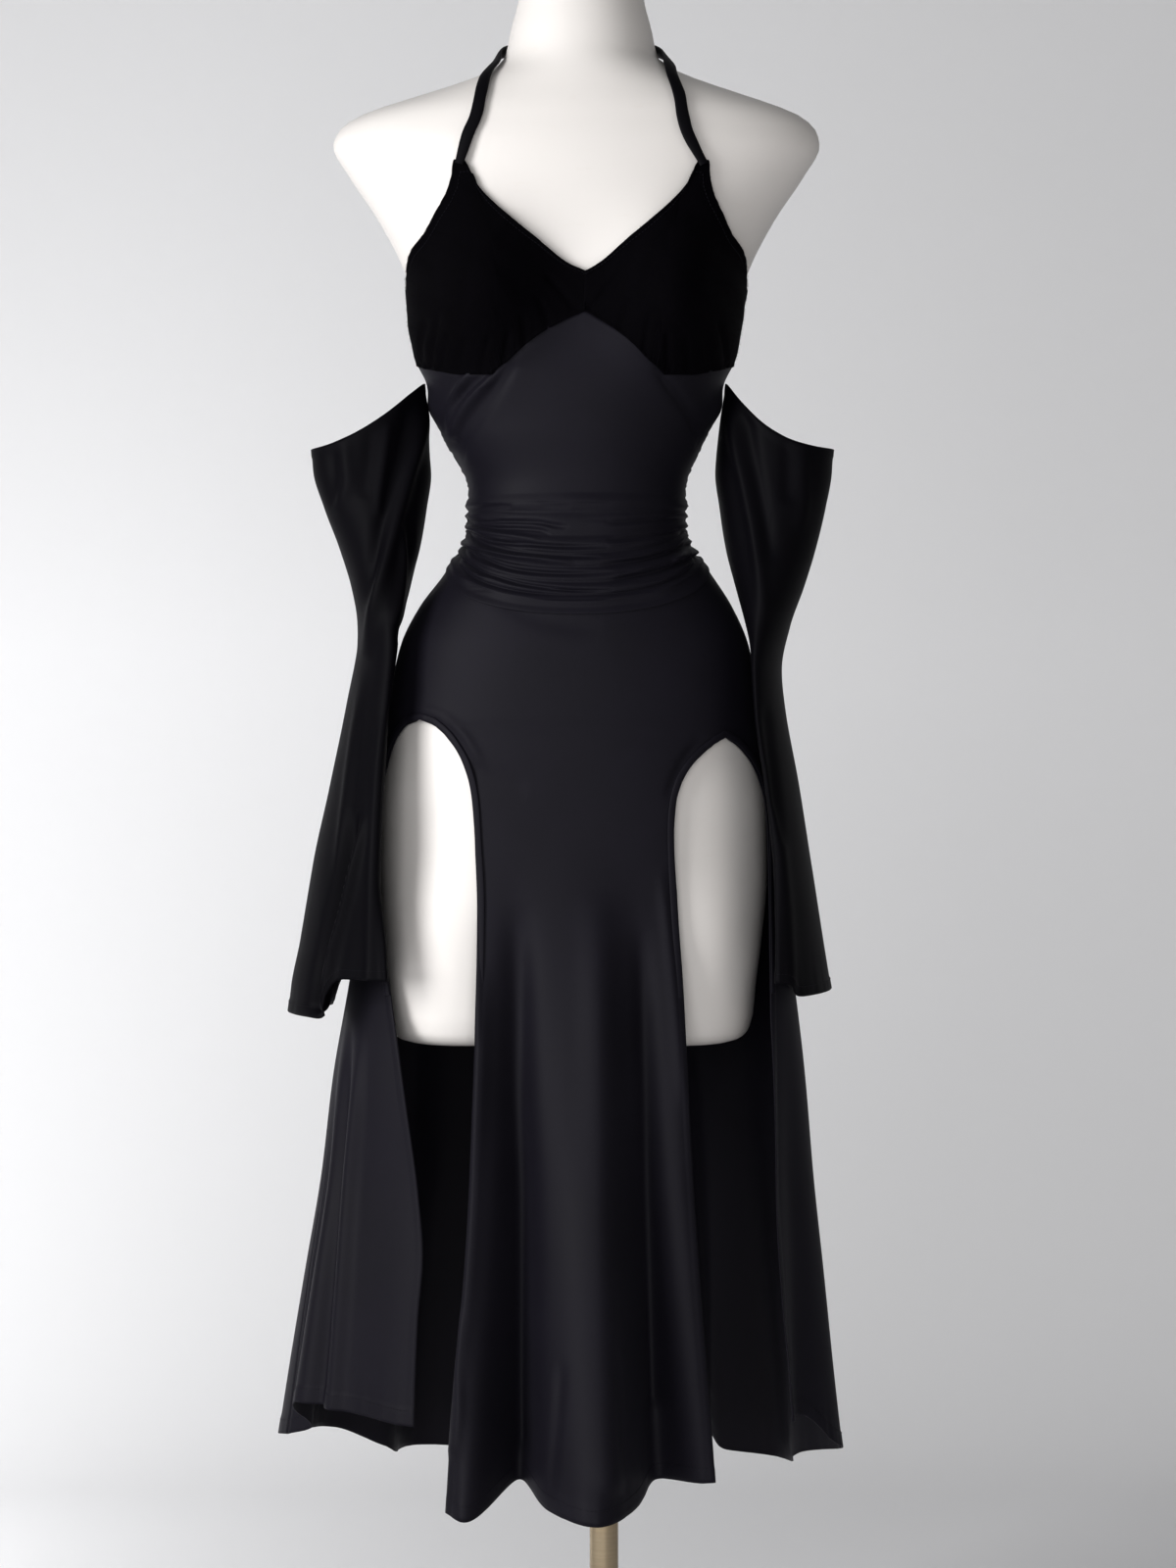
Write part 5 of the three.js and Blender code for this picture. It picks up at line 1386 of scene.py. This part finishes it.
def sweep_backdrop(name, half_width=4.0, near=-4.0, far=2.2, high=4.5, bend=1.0):
    """A floor that curves up into a wall."""
    turn = np.linspace(0, math.pi / 2, 24)
    curve = [(far - bend + bend * math.sin(t), bend - bend * math.cos(t)) for t in turn]
    profile = [(near, 0.0), *curve, (far, high)]
    points = [(x, y, z) for y, z in profile for x in (-half_width, half_width)]
    faces = [(2 * i, 2 * i + 1, 2 * i + 3, 2 * i + 2) for i in range(len(profile) - 1)]
    mesh = bpy.data.meshes.new(name)
    mesh.from_pydata(points, [], faces)
    mesh.polygons.foreach_set("use_smooth", np.ones(len(faces), bool))
    backdrop = bpy.data.objects.new(name, mesh)
    bpy.context.scene.collection.objects.link(backdrop)
    return backdrop


def add_softbox(name, place, aim, size, power, colour):
    light = bpy.data.lights.new(name, "AREA")
    light.shape = "RECTANGLE"
    light.size, light.size_y = size
    light.energy = power
    light.color = colour
    lamp = bpy.data.objects.new(name, light)
    bpy.context.scene.collection.objects.link(lamp)
    lamp.location = place
    lamp.rotation_mode = "QUATERNION"
    lamp.rotation_quaternion = (Vector(aim) - Vector(place)).to_track_quat("-Z", "Y")
    return lamp


def add_camera(settings):
    data = bpy.data.cameras.new("Camera")
    data.lens = settings.camera_lens
    data.sensor_width = 36.0
    data.clip_end = 50
    camera = bpy.data.objects.new("Camera", data)
    bpy.context.scene.collection.objects.link(camera)
    place = Vector((settings.camera_across, -settings.camera_distance, settings.camera_height))
    aim = Vector((settings.camera_across, 0, settings.camera_aim))
    camera.location = place
    camera.rotation_mode = "QUATERNION"
    camera.rotation_quaternion = (aim - place).to_track_quat("-Z", "Y")
    bpy.context.scene.camera = camera


class HalterDressSizes(bpy.types.PropertyGroup):
    cloth_thickness: FloatProperty(name="Cloth thickness", description="Thickness of jersey and velvet",
                                   default=0.0011, unit="LENGTH", precision=4)
    stitch_spacing: FloatProperty(name="Stitch spacing", description="From one stitch's middle to the next",
                                  default=0.0032, unit="LENGTH", precision=4)
    stitch_length: FloatProperty(name="Stitch length", description="Length of a stitch",
                                 default=0.0023, unit="LENGTH", precision=4)
    stitch_width: FloatProperty(name="Stitch width", description="Thickness of the thread",
                                default=0.0005, unit="LENGTH", precision=4)
    nap_density: FloatProperty(name="Nap density", description="Fibres a square metre along the necklines",
                               default=900000.0, min=0)
    nap_length: FloatProperty(name="Nap length", description="Length of a fibre of the velvet",
                              default=0.0014, unit="LENGTH", precision=4)
    seed: IntProperty(name="Seed", description="Seed for the velvet's fibres", default=11)


class HalterDressColours(bpy.types.PropertyGroup):
    jersey: FloatVectorProperty(name="Jersey", description="Colour of the stretch jersey",
                                default=(0.0066, 0.0058, 0.0098), subtype="COLOR", size=3)
    velvet: FloatVectorProperty(name="Velvet", description="Colour of the cups' velvet",
                                default=(0.0015, 0.0012, 0.0021), subtype="COLOR", size=3)
    form_paint: FloatVectorProperty(name="Form paint", description="Colour of the dress form's paint",
                                    default=(0.70, 0.675, 0.655), subtype="COLOR", size=3)
    brass: FloatVectorProperty(name="Brass", description="Colour of the pole and the base",
                               default=(0.46, 0.38, 0.27), subtype="COLOR", size=3)
    studio: FloatVectorProperty(name="Studio", description="Colour of the floor and the backdrop",
                                default=(0.80, 0.80, 0.81), subtype="COLOR", size=3)


class HalterDressStudio(bpy.types.PropertyGroup):
    camera_distance: FloatProperty(name="Camera distance", description="From the form's middle to the camera",
                                   default=3.0, unit="LENGTH")
    camera_height: FloatProperty(name="Camera height", description="Height of the camera",
                                 default=0.96, unit="LENGTH")
    camera_aim: FloatProperty(name="Aim height", description="Height that the camera looks at",
                              default=0.87, unit="LENGTH")
    camera_across: FloatProperty(name="Camera across", description="How far the camera stands to the right",
                                 default=-0.0134, unit="LENGTH")
    camera_lens: FloatProperty(name="Lens", description="Focal length in millimetres", default=82.5)
    key_power: FloatProperty(name="Key light", description="Power of the large light on the left",
                             default=86.0)
    front_power: FloatProperty(name="Front light", description="Power of the wide light by the camera",
                               default=50.0)
    fill_power: FloatProperty(name="Fill light", description="Power of the faint light on the right",
                              default=6.0)
    wall_power: FloatProperty(name="Wall light", description="Power of the light on the backdrop",
                              default=11.0)
    sky: FloatProperty(name="Ambient light", description="Strength of the light from all round", default=0.2)
    contrast: FloatProperty(name="Contrast", description="Gamma of the view. Below 1 it deepens the blacks",
                            default=0.85)


class HalterDressOperator:
    bl_options = {"REGISTER", "UNDO"}

    @staticmethod
    def sizes():
        return bpy.context.scene.halter_dress_sizes

    @staticmethod
    def colours():
        return bpy.context.scene.halter_dress_colours


def shared(name, make, *values):
    """A material or a tree that is made once and then used again."""
    return bpy.data.materials.get(name) or make(name, *values)


def jersey_cloth(colours):
    return shared("Jersey", jersey_material, tuple(colours.jersey), 0.025, 0.14)


# The sleeves' jersey is a darker copy of the dress jersey, with less sheen and shine: painted shade over the
# sleeves.
def sleeve_cloth_painted_shade(colours):
    return shared("Sleeve jersey", jersey_material, scaled(colours.jersey, 0.35)[:3], 0.004, 0.07)


# The strap's jersey is the same darker copy of the dress jersey, with less sheen: painted shade on the strap.
def strap_cloth_painted_shade(colours):
    return shared("Strap jersey", jersey_material, scaled(colours.jersey, 0.35)[:3], 0.004, 0.1, False)


def jersey_trim(colours):
    return shared("Jersey trim", jersey_material, tuple(colours.jersey), 0.025, 0.14, False)


class OBJECT_OT_dress_form(HalterDressOperator, bpy.types.Operator):
    """Builds the limbless dress form"""

    bl_idname = "object.halter_dress_form"
    bl_label = "Dress form"

    def execute(self, context):
        build_form(shared("Form paint", form_paint_material, tuple(self.colours().form_paint)))
        return {"FINISHED"}


class OBJECT_OT_form_stand(HalterDressOperator, bpy.types.Operator):
    """Builds the pole and the round base"""

    bl_idname = "object.halter_dress_stand"
    bl_label = "Pole and base"

    def execute(self, context):
        brass = tuple(self.colours().brass)
        build_stand(shared("Brass plate", brass_material, brass, (40, 40, 400)),
                    shared("Brass pole", brass_material, brass, (30, 30, 900)))
        return {"FINISHED"}


class OBJECT_OT_cups(HalterDressOperator, bpy.types.Operator):
    """Builds the two velvet cups with their nap"""

    bl_idname = "object.halter_dress_cups"
    bl_label = "Cups"

    def execute(self, context):
        build_cups(shared("Velvet", velvet_material, tuple(self.colours().velvet)), self.sizes())
        return {"FINISHED"}


class OBJECT_OT_bodice(HalterDressOperator, bpy.types.Operator):
    """Builds the gathered midriff and the back of the bodice"""

    bl_idname = "object.halter_dress_bodice"
    bl_label = "Midriff and back"

    def execute(self, context):
        jersey = jersey_cloth(self.colours())
        build_midriff(jersey, self.sizes())
        build_bodice_back(jersey, self.sizes())
        return {"FINISHED"}


class OBJECT_OT_skirt(HalterDressOperator, bpy.types.Operator):
    """Builds the fluted skirt and the rolled edges of its two arches"""

    bl_idname = "object.halter_dress_skirt"
    bl_label = "Skirt"

    def execute(self, context):
        jersey = jersey_cloth(self.colours())
        build_skirt_front(jersey, self.sizes())
        build_skirt_back(jersey, self.sizes())
        build_edgings(rolled_band_tree(), jersey_trim(self.colours()))
        return {"FINISHED"}


class OBJECT_OT_sleeves(HalterDressOperator, bpy.types.Operator):
    """Builds the two bell sleeves"""

    bl_idname = "object.halter_dress_sleeves"
    bl_label = "Sleeves"

    def execute(self, context):
        # The sleeves get the darker jersey copy, which paints shade over them.
        cloth = sleeve_cloth_painted_shade(self.colours())
        build_sleeve("sleeve_left", LEFT_SLEEVE, -1, LEFT_SLEEVE_CREASES, cloth, self.sizes())
        build_sleeve("sleeve_right", RIGHT_SLEEVE, 1, RIGHT_SLEEVE_CREASES, cloth, self.sizes())
        return {"FINISHED"}


class OBJECT_OT_strap(HalterDressOperator, bpy.types.Operator):
    """Builds the rolled halter strap"""

    bl_idname = "object.halter_dress_strap"
    bl_label = "Halter strap"

    def execute(self, context):
        # The strap gets the darker jersey copy, which paints shade over it.
        build_strap(rolled_band_tree(), strap_cloth_painted_shade(self.colours()))
        return {"FINISHED"}


class OBJECT_OT_stitches(HalterDressOperator, bpy.types.Operator):
    """Sews the hems and edges with small stitches"""

    bl_idname = "object.halter_dress_stitches"
    bl_label = "Stitches"

    def execute(self, context):
        build_stitches(jersey_trim(self.colours()), self.sizes())
        return {"FINISHED"}


class SCENE_OT_studio(HalterDressOperator, bpy.types.Operator):
    """Sets up the pale backdrop, the soft light and the camera"""

    bl_idname = "scene.halter_dress_studio"
    bl_label = "Studio"

    def execute(self, context):
        studio = context.scene.halter_dress_studio
        backdrop = sweep_backdrop("backdrop")
        backdrop.data.materials.append(shared("Studio paper", studio_material, tuple(self.colours().studio)))
        add_softbox("Key light", (-2.3, -1.75, 1.6), (0, 0, 0.95), (1.3, 1.9), studio.key_power, (1, 1, 1))
        add_softbox("Front light", (-0.4, -3.6, 1.0), (0, 0, 0.8), (2.4, 1.8), studio.front_power, (1, 1, 1))
        add_softbox("Fill light", (2.2, -2.2, 1.3), (0, 0, 0.9), (1.5, 1.5), studio.fill_power,
                    (1, 0.93, 0.88))
        add_softbox("Wall light", (-1.4, 0.7, 0.5), (-0.3, 2.2, 0.1), (0.8, 0.6), studio.wall_power,
                    (1, 1, 1))
        world = bpy.data.worlds.new("Studio air")
        world.use_nodes = True
        background = world.node_tree.nodes["Background"]
        background.inputs["Color"].default_value = (1, 1, 1, 1)
        background.inputs["Strength"].default_value = studio.sky
        context.scene.world = world
        context.scene.view_settings.view_transform = "Standard"
        context.scene.view_settings.gamma = studio.contrast
        add_camera(studio)
        return {"FINISHED"}


OPERATORS = (
    OBJECT_OT_dress_form, OBJECT_OT_form_stand, OBJECT_OT_cups, OBJECT_OT_bodice, OBJECT_OT_skirt,
    OBJECT_OT_sleeves, OBJECT_OT_strap, OBJECT_OT_stitches, SCENE_OT_studio,
)


class VIEW3D_PT_halter_dress(bpy.types.Panel):
    bl_label = "Halter Dress"
    bl_space_type = "VIEW_3D"
    bl_region_type = "UI"
    bl_category = "Halter Dress"

    def draw(self, context):
        for operator in OPERATORS:
            self.layout.operator(operator.bl_idname)


GROUPS = (
    ("halter_dress_sizes", HalterDressSizes),
    ("halter_dress_colours", HalterDressColours),
    ("halter_dress_studio", HalterDressStudio),
)


def register():
    for name, group in GROUPS:
        bpy.utils.register_class(group)
        setattr(bpy.types.Scene, name, PointerProperty(type=group))
    for operator in OPERATORS:
        bpy.utils.register_class(operator)
    bpy.utils.register_class(VIEW3D_PT_halter_dress)


def unregister():
    bpy.utils.unregister_class(VIEW3D_PT_halter_dress)
    for operator in reversed(OPERATORS):
        bpy.utils.unregister_class(operator)
    for name, group in reversed(GROUPS):
        delattr(bpy.types.Scene, name)
        bpy.utils.unregister_class(group)


def main():
    register()
    bpy.ops.object.halter_dress_form()
    bpy.ops.object.halter_dress_stand()
    bpy.ops.object.halter_dress_cups()
    bpy.ops.object.halter_dress_bodice()
    bpy.ops.object.halter_dress_skirt()
    bpy.ops.object.halter_dress_sleeves()
    bpy.ops.object.halter_dress_strap()
    bpy.ops.object.halter_dress_stitches()
    bpy.ops.scene.halter_dress_studio()


if __name__ == "__main__":
    main()
